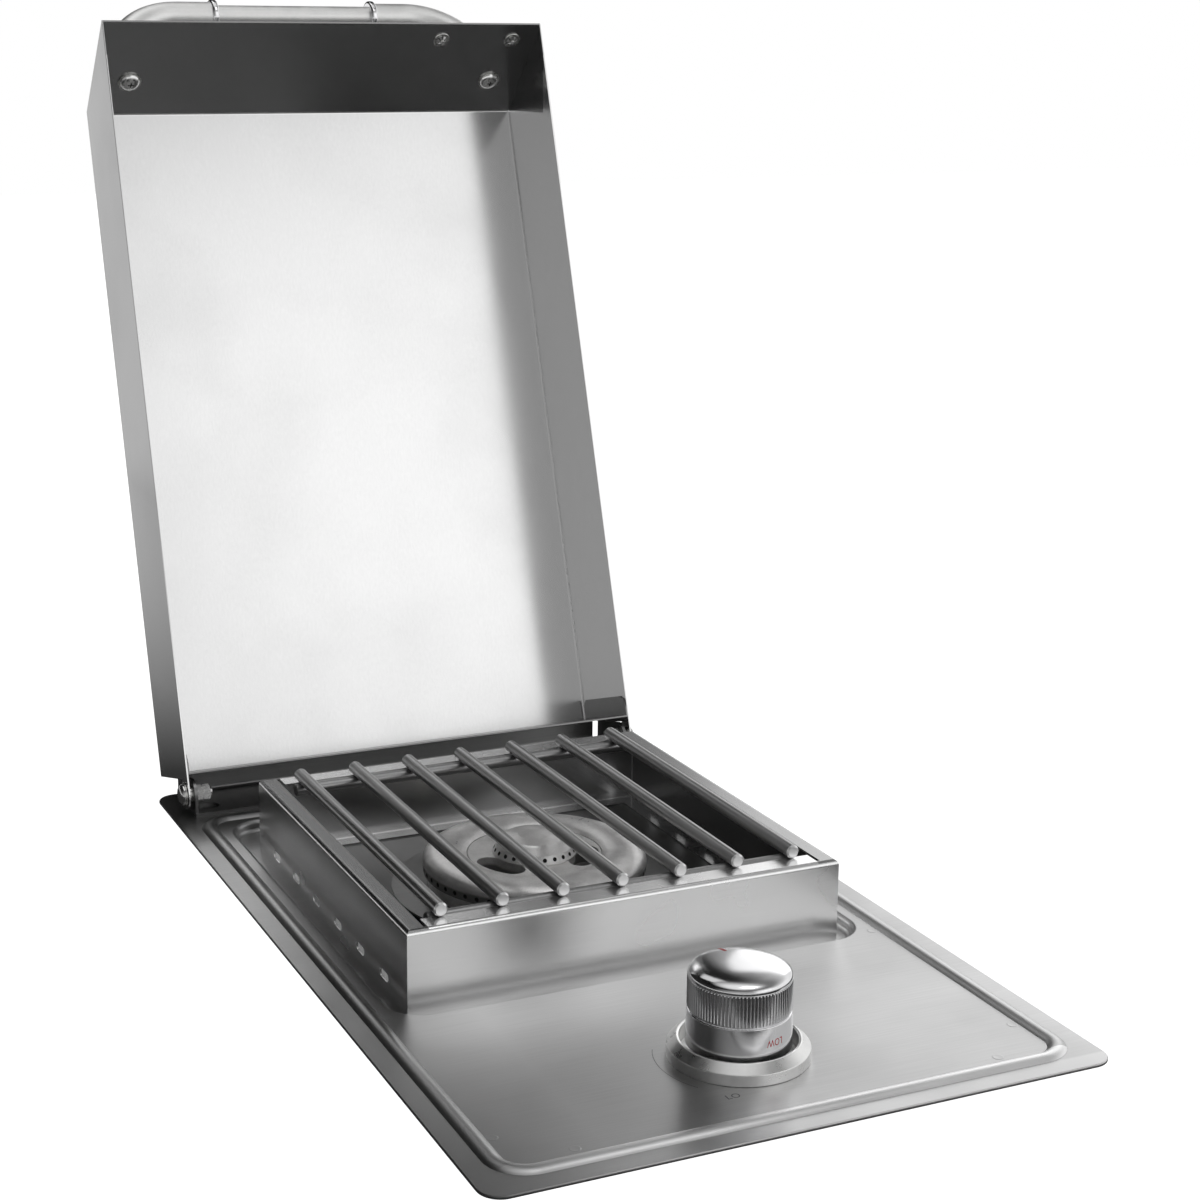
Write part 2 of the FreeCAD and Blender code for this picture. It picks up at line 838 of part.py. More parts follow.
def kidney(sketch):
    """A bent slot round the +Y direction: two arcs about the axis and two round ends."""
    middle = (d.kidney_outer + d.kidney_inner) / 2
    end_radius = (d.kidney_outer - d.kidney_inner) / 2
    half = math.degrees(math.asin(d.kidney_reach.value / middle.value))
    end_y = math.sqrt(middle.value**2 - d.kidney_reach.value**2)
    outer = arc(sketch, 0, 0, d.kidney_outer, 90 - half, 90 + half)
    inner = arc(sketch, 0, 0, d.kidney_inner, 90 - half, 90 + half)
    left = arc(sketch, -d.kidney_reach, end_y, end_radius, 90 + half, 270 + half)
    right = arc(sketch, d.kidney_reach, end_y, end_radius, -90 - half, 90 - half)
    sketch.addConstraint(Sketcher.Constraint("Tangent", outer, 2, left, 1))
    sketch.addConstraint(Sketcher.Constraint("Tangent", left, 2, inner, 2))
    sketch.addConstraint(Sketcher.Constraint("Tangent", inner, 1, right, 1))
    sketch.addConstraint(Sketcher.Constraint("Tangent", right, 2, outer, 1))
    fix_point(sketch, outer, 3, 0, 0)
    fix_point(sketch, inner, 3, 0, 0)
    fix(sketch, "Radius", outer, value=d.kidney_outer)
    fix(sketch, "Radius", inner, value=d.kidney_inner)
    fix(sketch, "DistanceX", -1, 1, left, 3, value=-d.kidney_reach)
    fix(sketch, "DistanceX", -1, 1, right, 3, value=d.kidney_reach)


def make_base():
    body = new_body("burner_base")
    rim = 1.5
    section = new_sketch(body, "XZ_Plane")
    polygon(
        section,
        [
            (d.neck_bore, d.neck_bottom),
            (d.neck_radius, d.neck_bottom),
            (d.neck_radius, 0),
            (d.base_radius, 0),
            (d.base_radius, d.seat_level),
            (d.base_bore, d.seat_level),
            (d.base_bore, d.base_floor),
            (d.web_radius, d.base_floor),
            (d.web_radius, d.web_level),
            (d.neck_radius + 2, d.web_level),
            (d.neck_radius + 2, d.web_level + rim),
            (d.neck_radius, d.web_level + rim),
            (d.neck_radius, d.web_level),
            (d.neck_bore, d.web_level),
        ],
    )
    revolve(body, section)

    openings = new_sketch(body, "XY_Plane", d.web_level + rim)
    kidney(openings)
    shaft = pocket(body, openings, d.web_level + rim + 1)
    polar(body, shaft, 3)

    gas = new_sketch(body, "XZ_Plane", d.neck_bore - 2)
    circle(gas, 0, d.seat_level, d.gas_way)
    way = pocket(body, gas, d.web_radius - d.neck_bore + 4, reverse=True)
    polar(body, way, 3)

    post = new_sketch(body, "XY_Plane", d.base_floor)
    circle(post, 0, d.boss_pitch, d.boss_radius)
    post_pad = pad(body, post, d.boss_top - d.base_floor)
    polar(body, post_pad, 3)

    thread = new_sketch(body)
    circle(thread, 0, d.boss_pitch, d.screw_radius + d.screw_gap)
    hole = pocket(body, thread, d.boss_top - 1.5, reverse=True)
    polar(body, hole, 3)
    body.Placement = Placement(Vector(0, 0, 0), Rotation(Vector(0, 0, 1), d.base_turn.value))
    place(body, 0, d.burner_y, 0)


def port(body, reach, level, count):
    """A row of square burner ports through a wall, sketched just inside it."""
    mouth = new_sketch(body, "XZ_Plane", reach)
    half = d.port_radius
    rectangle(mouth, -half, half, level - half, level + half)
    first = pocket(body, mouth, 2 * d.ring_band, reverse=True)
    polar(body, first, count)


def make_ring_cap():
    body = new_body("burner_ring_cap")
    inner, outer, crest = d.ring_inner, d.ring_outer, d.ring_crest
    middle = (inner + outer) / 2
    third = (outer - inner) / 6
    shoulder = d.seat_level + d.ring_band
    roof = crest - d.ring_wall
    section = new_sketch(body, "XZ_Plane")
    polygon(
        section,
        [
            (d.ring_bottom_inner, d.seat_level),
            (d.ring_bottom_outer, d.seat_level),
            (outer, shoulder),
            (outer - third / 2, (shoulder + crest) / 2),
            (outer - 1.6 * third, crest - 0.6 * d.ring_wall),
            (middle + 0.6 * third, crest - 0.08 * d.ring_wall),
            (middle - 0.6 * third, crest),
            (inner + third, crest - 0.3 * d.ring_wall),
            (inner + third / 3, crest - 0.7 * d.ring_wall),
            (inner, d.web_level),
            (inner, d.seat_level + d.ring_wall),
            (inner + d.ring_wall, d.seat_level + d.ring_wall),
            (inner + d.ring_wall, roof - 0.6 * d.ring_wall),
            (middle, roof),
            (outer - 1.9 * third, roof - 0.3 * d.ring_wall),
            (d.ring_bottom_inner, shoulder),
        ],
    )
    revolve(body, section)
    port(body, d.ring_bottom_inner - d.ring_wall, d.port_level, 52)
    place(body, 0, d.burner_y, 0)


def make_center_cap():
    body = new_body("burner_center_cap")
    foot, shoulder, wall = d.cap_radius, d.cap_shoulder, d.cap_wall
    rise = d.cap_crest - d.web_level
    section = new_sketch(body, "XZ_Plane")
    polygon(
        section,
        [
            (foot - wall, d.web_level),
            (foot, d.web_level),
            (foot, d.web_level + rise / 10),
            (foot - 0.9 * wall, d.web_level + 0.46 * rise),
            (shoulder, d.web_level + 0.8 * rise),
            (shoulder - wall / 2, d.web_level + 0.88 * rise),
            (shoulder / 2, d.web_level + 0.97 * rise),
            (0, d.cap_crest),
            (0, d.cap_crest - wall - 0.5),
            (shoulder - 1.6 * wall, d.web_level + 0.64 * rise),
            (foot - 1.85 * wall, d.web_level + 0.41 * rise),
        ],
    )
    revolve(body, section)
    port(body, foot - 2.8 * wall, d.cap_port_level, 24)
    place(body, 0, d.burner_y, 0)


def make_tube():
    body = new_body("venturi_tube")
    profile = new_sketch(body, "XY_Plane", d.tube_top)
    circle(profile, 0, 0, d.tube_radius)
    circle(profile, 0, 0, d.tube_radius - d.tube_wall)
    path = new_sketch(body, "YZ_Plane")
    bend_low = d.tube_drop - d.tube_bend
    down = segment(path, (0, d.tube_top), (0, d.tube_drop))
    turn = arc(path, -d.tube_bend, d.tube_drop, d.tube_bend, -90, 0)
    run = segment(path, (-d.tube_bend, bend_low), (d.tube_end - d.burner_y, bend_low))
    path.addConstraint(Sketcher.Constraint("Tangent", down, 2, turn, 2))
    path.addConstraint(Sketcher.Constraint("Tangent", turn, 1, run, 1))
    fix_point(path, down, 1, 0, d.tube_top)
    fix_point(path, down, 2, 0, d.tube_drop)
    fix_point(path, turn, 1, -d.tube_bend, bend_low)
    fix(path, "DistanceX", -1, 1, run, 2, value=d.tube_end - d.burner_y)
    sweep(body, "PartDesign::AdditivePipe", profile, path)
    place(body, 0, d.burner_y, 0)


def make_shutter():
    outer = stage(d.shutter_radius, d.shutter_front, d.shutter_back)
    bore = stage(d.tube_radius + d.loose_gap, d.shutter_front + d.sheet, d.shutter_back + 1)
    nose = stage(d.shutter_radius / 2, d.shutter_front - 1, d.shutter_front + 2)
    reach = d.shutter_radius + 3
    air = d.shutter_radius / 3
    window = block(-reach, reach, -air, air, d.shutter_front + 2, d.tube_end - 1)
    screw_y = (d.tube_end + d.shutter_back) / 2
    screw_hole = at(stage(d.shutter_screw + 0.2, 0, reach), 0, 0, screw_y, ALONG_MINUS_Y)
    sleeve = cut(outer, fuse([bore, nose, window, screw_hole]))
    keep(at(sleeve, 0, 0, d.gas_level, ALONG_Y), "air_shutter")
    shank = stage(d.shutter_screw, d.tube_radius + d.screw_gap, d.shutter_radius + 0.2)
    head = stage(2 * d.shutter_screw, d.shutter_radius, d.shutter_radius + 2.2)
    keep(at(turned([shank, head]), 0, screw_y, d.gas_level), "air_shutter_screw")


def make_electrode():
    rod = turned([stage(1, -24, 13), stage(3, -18, 6), stage(5, 0, 1.5)])
    keep(at(rod, 0, d.burner_y + d.electrode_reach, 0), "igniter_electrode")


def make_burner_screws():
    solids = []
    head_top = d.basin_floor - d.sheet
    for x, y in burner_screw_places():
        head = stage(2 * d.screw_radius, head_top - 1.2 * d.screw_radius, head_top)
        shank = stage(d.screw_radius, head_top - 1, d.boss_top / 1.5)
        solids.append(at(turned([head, shank]), x, d.burner_y + y, 0))
    group("burner_screws", solids)


def make_grate():
    middle = (d.surround_front + d.surround_rear) / 2
    half, bevel, radius = d.bar_length / 2, d.bar_chamfer, d.bar_radius
    pieces = []
    for index in range(-3, 4):
        bar = fuse(
            [
                cone(radius - bevel, radius, -half, bevel - half),
                stage(radius, bevel - half, half - bevel),
                cone(radius, radius - bevel, half - bevel, half),
            ]
        )
        pieces.append(at(bar, index * d.bar_pitch, 0, 0, ALONG_Y))
    for side in (-1, 1):
        rod = stage(d.rod_radius, -d.rod_length / 2, d.rod_length / 2)
        pieces.append(at(rod, 0, side * d.rod_spread / 2, -d.rod_sink, ALONG_X))
    keep(at(fuse(pieces), 0, middle, d.surround_top + radius + d.loose_gap), "pan_grate")


# ---------------------------------------------------------------- knob and valve


def make_bezel():
    body = new_body("knob_bezel")
    section = new_sketch(body, "XZ_Plane")
    polygon(
        section,
        [
            (d.bezel_bore, 0),
            (d.bezel_radius, 0),
            (d.bezel_radius - 0.3, d.bezel_band),
            (d.bezel_opening + 1.5, d.bezel_top),
            (d.bezel_opening, d.bezel_top),
            (d.bezel_opening, d.bezel_floor),
            (d.bezel_bore, d.bezel_floor),
        ],
    )
    revolve(body, section)
    holes = new_sketch(body)
    for side in (-1, 1):
        circle(holes, side * d.bezel_screw_reach, 0, d.screw_radius + d.screw_gap)
    pocket(body, holes, 2 * d.bezel_floor, reverse=True)
    place(body, 0, d.knob_y, 0)


def make_knob():
    body = new_body("control_knob")
    band, top = d.knob_band, d.knob_top
    section = new_sketch(body, "XZ_Plane")
    polygon(
        section,
        [
            (0, d.stem_top),
            (d.hub_radius, d.hub_bottom + 4),
            (d.hub_radius, d.knob_hollow_top),
            (d.knob_hollow, d.knob_hollow_top),
            (d.knob_hollow, d.knob_bottom),
            (d.knob_skirt, d.knob_bottom),
            (band, d.knob_band_bottom),
            (band, d.knob_band_top),
            (band - 0.9, d.knob_band_top + 2.5),
            (band - 4.5, top - 1.8),
            (band - 12.5, top - 0.4),
            (0, top),
        ],
    )
    revolve(body, section)
    hub = new_sketch(body, "XY_Plane", d.hub_bottom)
    circle(hub, 0, 0, d.hub_radius)
    pad(body, hub, d.knob_hollow_top - d.hub_bottom)
    bore = new_sketch(body, "XY_Plane", d.hub_bottom)
    radius = d.stem_radius + d.screw_gap
    flat = d.stem_flat + d.screw_gap
    spread = math.degrees(math.acos(flat.value / radius.value))
    round_side = arc(bore, 0, 0, radius, spread, 360 - spread)
    half_chord = radius.value * math.sin(math.radians(spread))
    flat_side = segment(bore, (flat, -half_chord), (flat, half_chord))
    bore.addConstraint(Sketcher.Constraint("Coincident", round_side, 2, flat_side, 1))
    bore.addConstraint(Sketcher.Constraint("Coincident", flat_side, 2, round_side, 1))
    fix_point(bore, round_side, 3, 0, 0)
    fix(bore, "Radius", round_side, value=radius)
    fix(bore, "DistanceX", -1, 1, flat_side, 1, value=flat)
    fix(bore, "DistanceX", -1, 1, flat_side, 2, value=flat)
    pocket(body, bore, d.stem_top - d.hub_bottom, reverse=True)
    place(body, 0, d.knob_y, 0)


def make_stem():
    body = new_body("valve_stem")
    shaft = new_sketch(body, "XY_Plane", d.collar_bottom)
    circle(shaft, 0, 0, d.stem_radius)
    pad(body, shaft, d.stem_top - d.collar_bottom)
    collar = new_sketch(body, "XY_Plane", d.collar_bottom)
    circle(collar, 0, 0, d.collar_radius)
    pad(body, collar, d.collar_top - d.collar_bottom)
    tang = new_sketch(body, "XY_Plane", d.tang_bottom)
    rectangle(tang, -d.tang_width / 2, d.tang_width / 2, -d.tang_thickness / 2, d.tang_thickness / 2)
    pad(body, tang, d.collar_bottom - d.tang_bottom)
    flat = new_sketch(body, "XY_Plane", d.stem_flat_bottom)
    rectangle(flat, d.stem_flat, 2 * d.stem_radius, -d.stem_radius, d.stem_radius)
    pocket(body, flat, d.stem_top, reverse=True)
    place(body, 0, d.knob_y, 0)


def make_spring():
    """A compression spring: a hexagonal wire swept along a helix."""
    radius, wire = d.spring_radius.value, d.spring_wire.value
    start = d.plug_top.value + wire
    height = d.collar_bottom.value - d.plug_top.value - 2 * wire
    helix = Part.makeHelix(height / 4, height, radius)
    corners = []
    for corner in range(7):
        angle = math.radians(60 * corner)
        corners.append(Vector(radius + wire * math.cos(angle), 0, wire * math.sin(angle)))
    coil = Part.Wire(helix).makePipeShell([Part.makePolygon(corners)], True, True)
    spring = doc.addObject("Part::Feature", "spring")
    spring.Shape = coil
    keep(at(spring, 0, d.knob_y, start), "valve_spring")


def make_valve():
    half = d.valve_side / 2
    chamber = d.plug_radius + d.running_gap
    body = block(-half, half, -half, half, d.valve_bottom, d.valve_top)
    outlet = at(stage(8, half - 2, d.outlet_reach), 0, 0, d.gas_level, ALONG_Y)
    tools = [
        stage(chamber, d.plug_bottom - d.loose_gap, d.valve_top + 1),
        stage(4, d.valve_bottom - 1, d.plug_bottom),
        at(stage(3, 0, d.outlet_reach + 1), 0, 0, d.gas_level, ALONG_Y),
    ]
    for side in (-1, 1):
        screw_hole = stage(1.65, d.valve_top - 12, d.valve_top + 1)
        tools.append(at(screw_hole, side * d.bonnet_reach, side * d.bonnet_reach, 0))
    keep(at(cut(fuse([body, outlet]), fuse(tools)), 0, d.knob_y, 0), "valve_body")

    plate_top = d.valve_top + d.bonnet_plate
    plate = block(-half, half, -half, half, d.valve_top, plate_top)
    neck = stage(d.bonnet_neck, plate_top - 1, -d.sheet - d.bracket_sheet)
    tools = [stage(d.stem_radius + d.running_gap, d.valve_top - 1, 0)]
    for side in (-1, 1):
        screw_hole = stage(1.65, d.valve_top - 1, plate_top + 1)
        tools.append(at(screw_hole, side * d.bonnet_reach, side * d.bonnet_reach, 0))
    keep(at(cut(fuse([plate, neck]), fuse(tools)), 0, d.knob_y, 0), "valve_bonnet")

    screws = []
    for side in (-1, 1):
        screw = turned([stage(1.5, plate_top - 13, plate_top + 1), stage(2.8, plate_top, plate_top + 2)])
        screws.append(at(screw, side * d.bonnet_reach, d.knob_y + side * d.bonnet_reach, 0))
    group("bonnet_screws", screws)


def make_plug():
    plug = stage(d.plug_radius, d.plug_bottom, d.plug_top)
    slot_half = d.tang_width / 2 + 0.4
    slot_side = d.tang_thickness / 2 + 0.3
    tools = [
        block(-slot_half, slot_half, -slot_side, slot_side, d.plug_top - 14, d.plug_top + 1),
        stage(3, d.plug_bottom - 1, d.gas_level + 2.5),
        at(stage(2.5, 0, 2 * d.plug_radius), 0, 0, d.gas_level, ALONG_X),
    ]
    keep(at(cut(plug, fuse(tools)), 0, d.knob_y, 0), "valve_plug")


def make_valve_fittings():
    spud = turned(
        [stage(5.5, 0, 6, sides=6), cone(4, 2, 6, 10)],
        bore=stage(0.8, -1, 12),
    )
    keep(at(spud, 0, d.knob_y + d.outlet_reach, d.gas_level, ALONG_Y), "orifice_spud")
    fitting = turned(
        [
            stage(d.inlet_hex, d.inlet_shoulder, d.valve_bottom, sides=6),
            stage(d.inlet_thread, d.inlet_end, d.inlet_shoulder),
        ],
        bore=stage(4, d.inlet_end - 1, d.valve_bottom + 1),
    )
    keep(at(fitting, 0, d.knob_y, 0), "gas_inlet_fitting")


def make_bracket():
    body = new_body("valve_bracket")
    bottom = -d.sheet - d.bracket_sheet
    plate = new_sketch(body, "XY_Plane", bottom)
    rounded_rectangle(
        plate,
        -d.bracket_length / 2,
        d.bracket_length / 2,
        -d.bracket_width / 2,
        d.bracket_width / 2,
        as_dim(5),
    )
    circle(plate, 0, 0, d.stem_radius + 1)
    for side in (-1, 1):
        circle(plate, side * d.bezel_screw_reach, 0, d.screw_radius + d.screw_gap)
    pad(body, plate, d.bracket_sheet)
    place(body, 0, d.knob_y, 0)


def make_bezel_screws():
    screws = []
    floor = d.bezel_floor
    for side in (-1, 1):
        shank = stage(d.screw_radius, -4 * d.screw_radius, floor + 1)
        head = stage(1.7 * d.screw_radius, floor, floor + d.screw_radius)
        screws.append(at(turned([shank, head]), side * d.bezel_screw_reach, d.knob_y, 0))
    group("bezel_screws", screws)


# ---------------------------------------------------------------- hinge


def tangent_point(centre, radius, target):
    """Where a line from target touches the circle, on its upper side."""
    across = target[0] - centre[0]
    up = target[1] - centre[1]
    distance = math.hypot(across, up)
    angle = math.atan2(up, across) + math.acos(radius / distance)
    return centre[0] + radius * math.cos(angle), centre[1] + radius * math.sin(angle)


def make_hinge_bracket():
    body = new_body("hinge_bracket")
    t = d.ear_sheet
    foot = new_sketch(body)
    rectangle(foot, -d.ear_outer, d.ear_outer, d.bracket_front, d.upstand_back)
    for side in (-1, 1):
        obround(foot, side * d.notch_x, d.notch_y, d.notch_length, d.notch_width)
    feature = pad(body, foot, t)

    wall = new_sketch(body, "YZ_Plane")
    rectangle(wall, d.upstand_front, d.upstand_back, 0, d.upstand_top)
    feature = pad(body, wall, 2 * d.upstand_side, symmetric=True)
    bend = d.upstand_front.value

    def is_inner_corner(box):
        level = abs(box.ZMin - t.value) < 0.01 and abs(box.ZMax - t.value) < 0.01
        return level and abs(box.YMin - bend) < 0.01 and abs(box.YMax - bend) < 0.01 and box.XLength > 100

    fillet(body, feature, edges_where(feature, is_inner_corner), 2.5)

    centre = (d.hinge_y.value, d.hinge_z.value)
    touch_y, touch_z = tangent_point(centre, d.ear_radius.value, (d.upstand_back.value, d.upstand_top.value))
    for side in (-1, 1):
        inner = side * (d.ear_outer - t)
        outer = side * d.ear_outer
        start = min(inner.value, outer.value)
        first = inner if start == inner.value else outer
        web = new_sketch(body, "YZ_Plane", first)
        polygon(
            web,
            [
                (d.hinge_y - d.ear_radius, 0),
                (d.upstand_back, 0),
                (d.upstand_back, d.upstand_top),
                (touch_y, touch_z),
                (d.hinge_y, d.hinge_z),
                (d.hinge_y - d.ear_radius, d.hinge_z),
            ],
        )
        pad(body, web, t)
        nose = new_sketch(body, "YZ_Plane", first)
        circle(nose, d.hinge_y, d.hinge_z, d.ear_radius)
        pad(body, nose, t)
    bore = new_sketch(body, "YZ_Plane", 0)
    circle(bore, d.hinge_y, d.hinge_z, d.bolt_radius + d.screw_gap)
    pocket(body, bore, 4 * d.ear_outer, symmetric=True)


def make_hinge_hardware():
    bolts = []
    head_washers = []
    spacers = []
    nuts = []
    hole = d.bolt_radius + d.screw_gap
    washer_start = d.lid_side + d.loose_gap
    washer_end = washer_start + 1
    for rotation in (ALONG_X, ALONG_MINUS_X):
        shank = stage(d.bolt_radius, d.bolt_end, washer_end + 1)
        flange = stage(d.bolt_head, washer_end, washer_end + 1.2)
        dome = cone(d.bolt_head, 4.2, washer_end + 1.2, washer_end + 3.6)
        bolts.append(at(turned([shank, flange, dome]), 0, d.hinge_y, d.hinge_z, rotation))
        bore = stage(hole, washer_start - 1, washer_end + 1)
        washer = turned([stage(d.washer_radius, washer_start, washer_end)], bore=bore)
        head_washers.append(at(washer, 0, d.hinge_y, d.hinge_z, rotation))
        spacer_end = d.lid_side - d.sheet - d.loose_gap
        bore = stage(hole, d.ear_outer - 1, spacer_end + 1)
        spacer = turned([stage(d.spacer_radius, d.ear_outer, spacer_end)], bore=bore)
        spacers.append(at(spacer, 0, d.hinge_y, d.hinge_z, rotation))
        start = d.ear_outer - d.ear_sheet - d.nut_height
        for _ in range(2):
            bore = stage(hole, start - 1, start + d.nut_height + 1)
            nut = turned([stage(d.nut_radius, start, start + d.nut_height, sides=6)], bore=bore)
            nuts.append(at(nut, 0, d.hinge_y, d.hinge_z, rotation))
            start = start - d.nut_height
    group("hinge_bolts", bolts)
    group("hinge_head_washers", head_washers)
    group("hinge_spacer_washers", spacers)
    group("hinge_nuts", nuts)


# ---------------------------------------------------------------- lid, drawn shut about its hinge axis

slant_run = (d.lid_slant_top - d.lid_front).value
slant_rise = (d.lid_panel - d.lid_rim).value
slant_length = math.hypot(slant_run, slant_rise)
SLANT = (slant_run / slant_length, slant_rise / slant_length)
SLANT_ANGLE = math.degrees(math.atan2(slant_rise, slant_run))
LID_OPEN = Rotation(Vector(1, 0, 0), -90 - d.lid_tilt.value)
ON_SLANT = Rotation(Vector(1, 0, 0), SLANT_ANGLE)


def open_lid(obj):
    obj.Placement = Placement(Vector(0, 0, 0), LID_OPEN)
    place(obj, 0, d.hinge_y, d.hinge_z)
    return obj


def on_slant(reach):
    """The point on the slanted front at a distance from its rim."""
    return d.lid_front + as_dim(reach) * SLANT[0], d.lid_rim + as_dim(reach) * SLANT[1]


def make_lid_shell():
    body = new_body("lid_shell")
    lug_y, lug_z = tangent_point((0.0, 0.0), d.lug_radius.value, (d.lid_back.value, d.lid_panel.value))
    outer = new_sketch(body, "YZ_Plane")
    polygon(
        outer,
        [
            (d.lid_front, d.lid_rim),
            (0, d.lid_rim),
            (0, 0),
            (lug_y, lug_z),
            (d.lid_back, d.lid_panel),
            (d.lid_slant_top, d.lid_panel),
        ],
    )
    feature = pad(body, outer, 2 * d.lid_side, symmetric=True)
    side, panel, back = d.lid_side.value, d.lid_panel.value, d.lid_back.value

    def is_bend(box):
        across = box.XLength > side and box.ZMin > panel - 0.01 and box.YMax < back - 1
        along = box.ZMin > panel - 0.01 and abs(abs(box.XMin) - side) < 0.01 and box.YLength > 100
        return across or along

    feature = fillet(body, feature, edges_where(feature, is_bend), d.lid_bend)

    lugs = new_sketch(body, "YZ_Plane")
    circle(lugs, 0, 0, d.lug_radius)
    pad(body, lugs, 2 * d.lid_side, symmetric=True)

    t = d.sheet
    inset_front = d.lid_front.value + t.value / SLANT[1]
    inset_top = d.lid_slant_top.value + t.value / SLANT[1] - t.value * SLANT[0] / SLANT[1]
    below = 5
    inner = new_sketch(body, "YZ_Plane")
    polygon(
        inner,
        [
            (inset_front - below * SLANT[0] / SLANT[1], d.lid_rim - below),
            (3 * d.lug_radius, d.lid_rim - below),
            (3 * d.lug_radius, 2 * d.lid_panel),
            (d.lid_back, 2 * d.lid_panel),
            (d.lid_back, d.lid_panel - t),
            (inset_top, d.lid_panel - t),
        ],
    )
    feature = pocket(body, inner, 2 * (d.lid_side - t), symmetric=True)

    def is_inner_bend(box):
        across = box.XLength > side and abs(box.ZMin - panel + t.value) < 0.01 and box.YMax < back - 1
        along = abs(box.ZMax - panel + t.value) < 0.01 and abs(abs(box.XMin) - side + t.value) < 0.01
        return (across and box.ZLength < 0.01) or (along and box.YLength > 100 and box.ZLength < 0.01)

    feature = fillet(body, feature, edges_where(feature, is_inner_bend), d.lid_bend - t)

    pivot = new_sketch(body, "YZ_Plane")
    circle(pivot, 0, 0, d.bolt_radius + d.running_gap)
    pocket(body, pivot, 3 * d.lid_side, symmetric=True)

    holes = body.newObject("Sketcher::SketchObject", "sketch")
    holes.AttachmentSupport = [(origin_item(body, "XY_Plane"), "")]
    holes.MapMode = "FlatFace"
    holes.AttachmentOffset = Placement(Vector(0, 0, 0), ON_SLANT)
    bind(holes, "AttachmentOffset.Base.y", d.lid_front)
    bind(holes, "AttachmentOffset.Base.z", d.lid_rim)
    for side_sign in (-1, 1):
        circle(holes, side_sign * d.post_x, d.post_reach, d.handle_screw + d.screw_gap)
    for x in (d.stud_inner_x, d.stud_outer_x):
        circle(holes, x, d.stud_reach, d.stud + d.screw_gap)
    pocket(body, holes, 8 * t, symmetric=True)
    open_lid(body)


def make_rear_wall():
    body = new_body("lid_rear_wall")
    t = d.sheet
    half = d.lid_side - t
    top = d.lid_panel - t
    wall = new_sketch(body, "XZ_Plane", -d.lid_back)
    bend = d.lid_bend - t
    polygon(
        wall,
        [
            (-half, d.lid_rim),
            (half, d.lid_rim),
            (half, top - bend),
            (half - bend, top),
            (bend - half, top),
            (-half, top - bend),
        ],
    )
    pad(body, wall, t)
    for side in (-1, 1):
        tab = new_sketch(body, "YZ_Plane", half - t if side > 0 else -half)
        front = d.lid_back - d.end_tab
        polygon(
            tab,
            [
                (d.lid_back - t, d.lid_rim),
                (d.lid_back - t, top - d.lid_bend),
                (front + d.tab_corner / 2, top - d.lid_bend),
                (front, top - d.lid_bend - d.tab_corner / 2),
                (front, d.lid_rim + d.tab_corner),
                (front + d.tab_corner * 0.3, d.lid_rim + d.tab_corner * 0.3),
                (front + d.tab_corner, d.lid_rim),
            ],
        )
        pad(body, tab, t)
    open_lid(body)


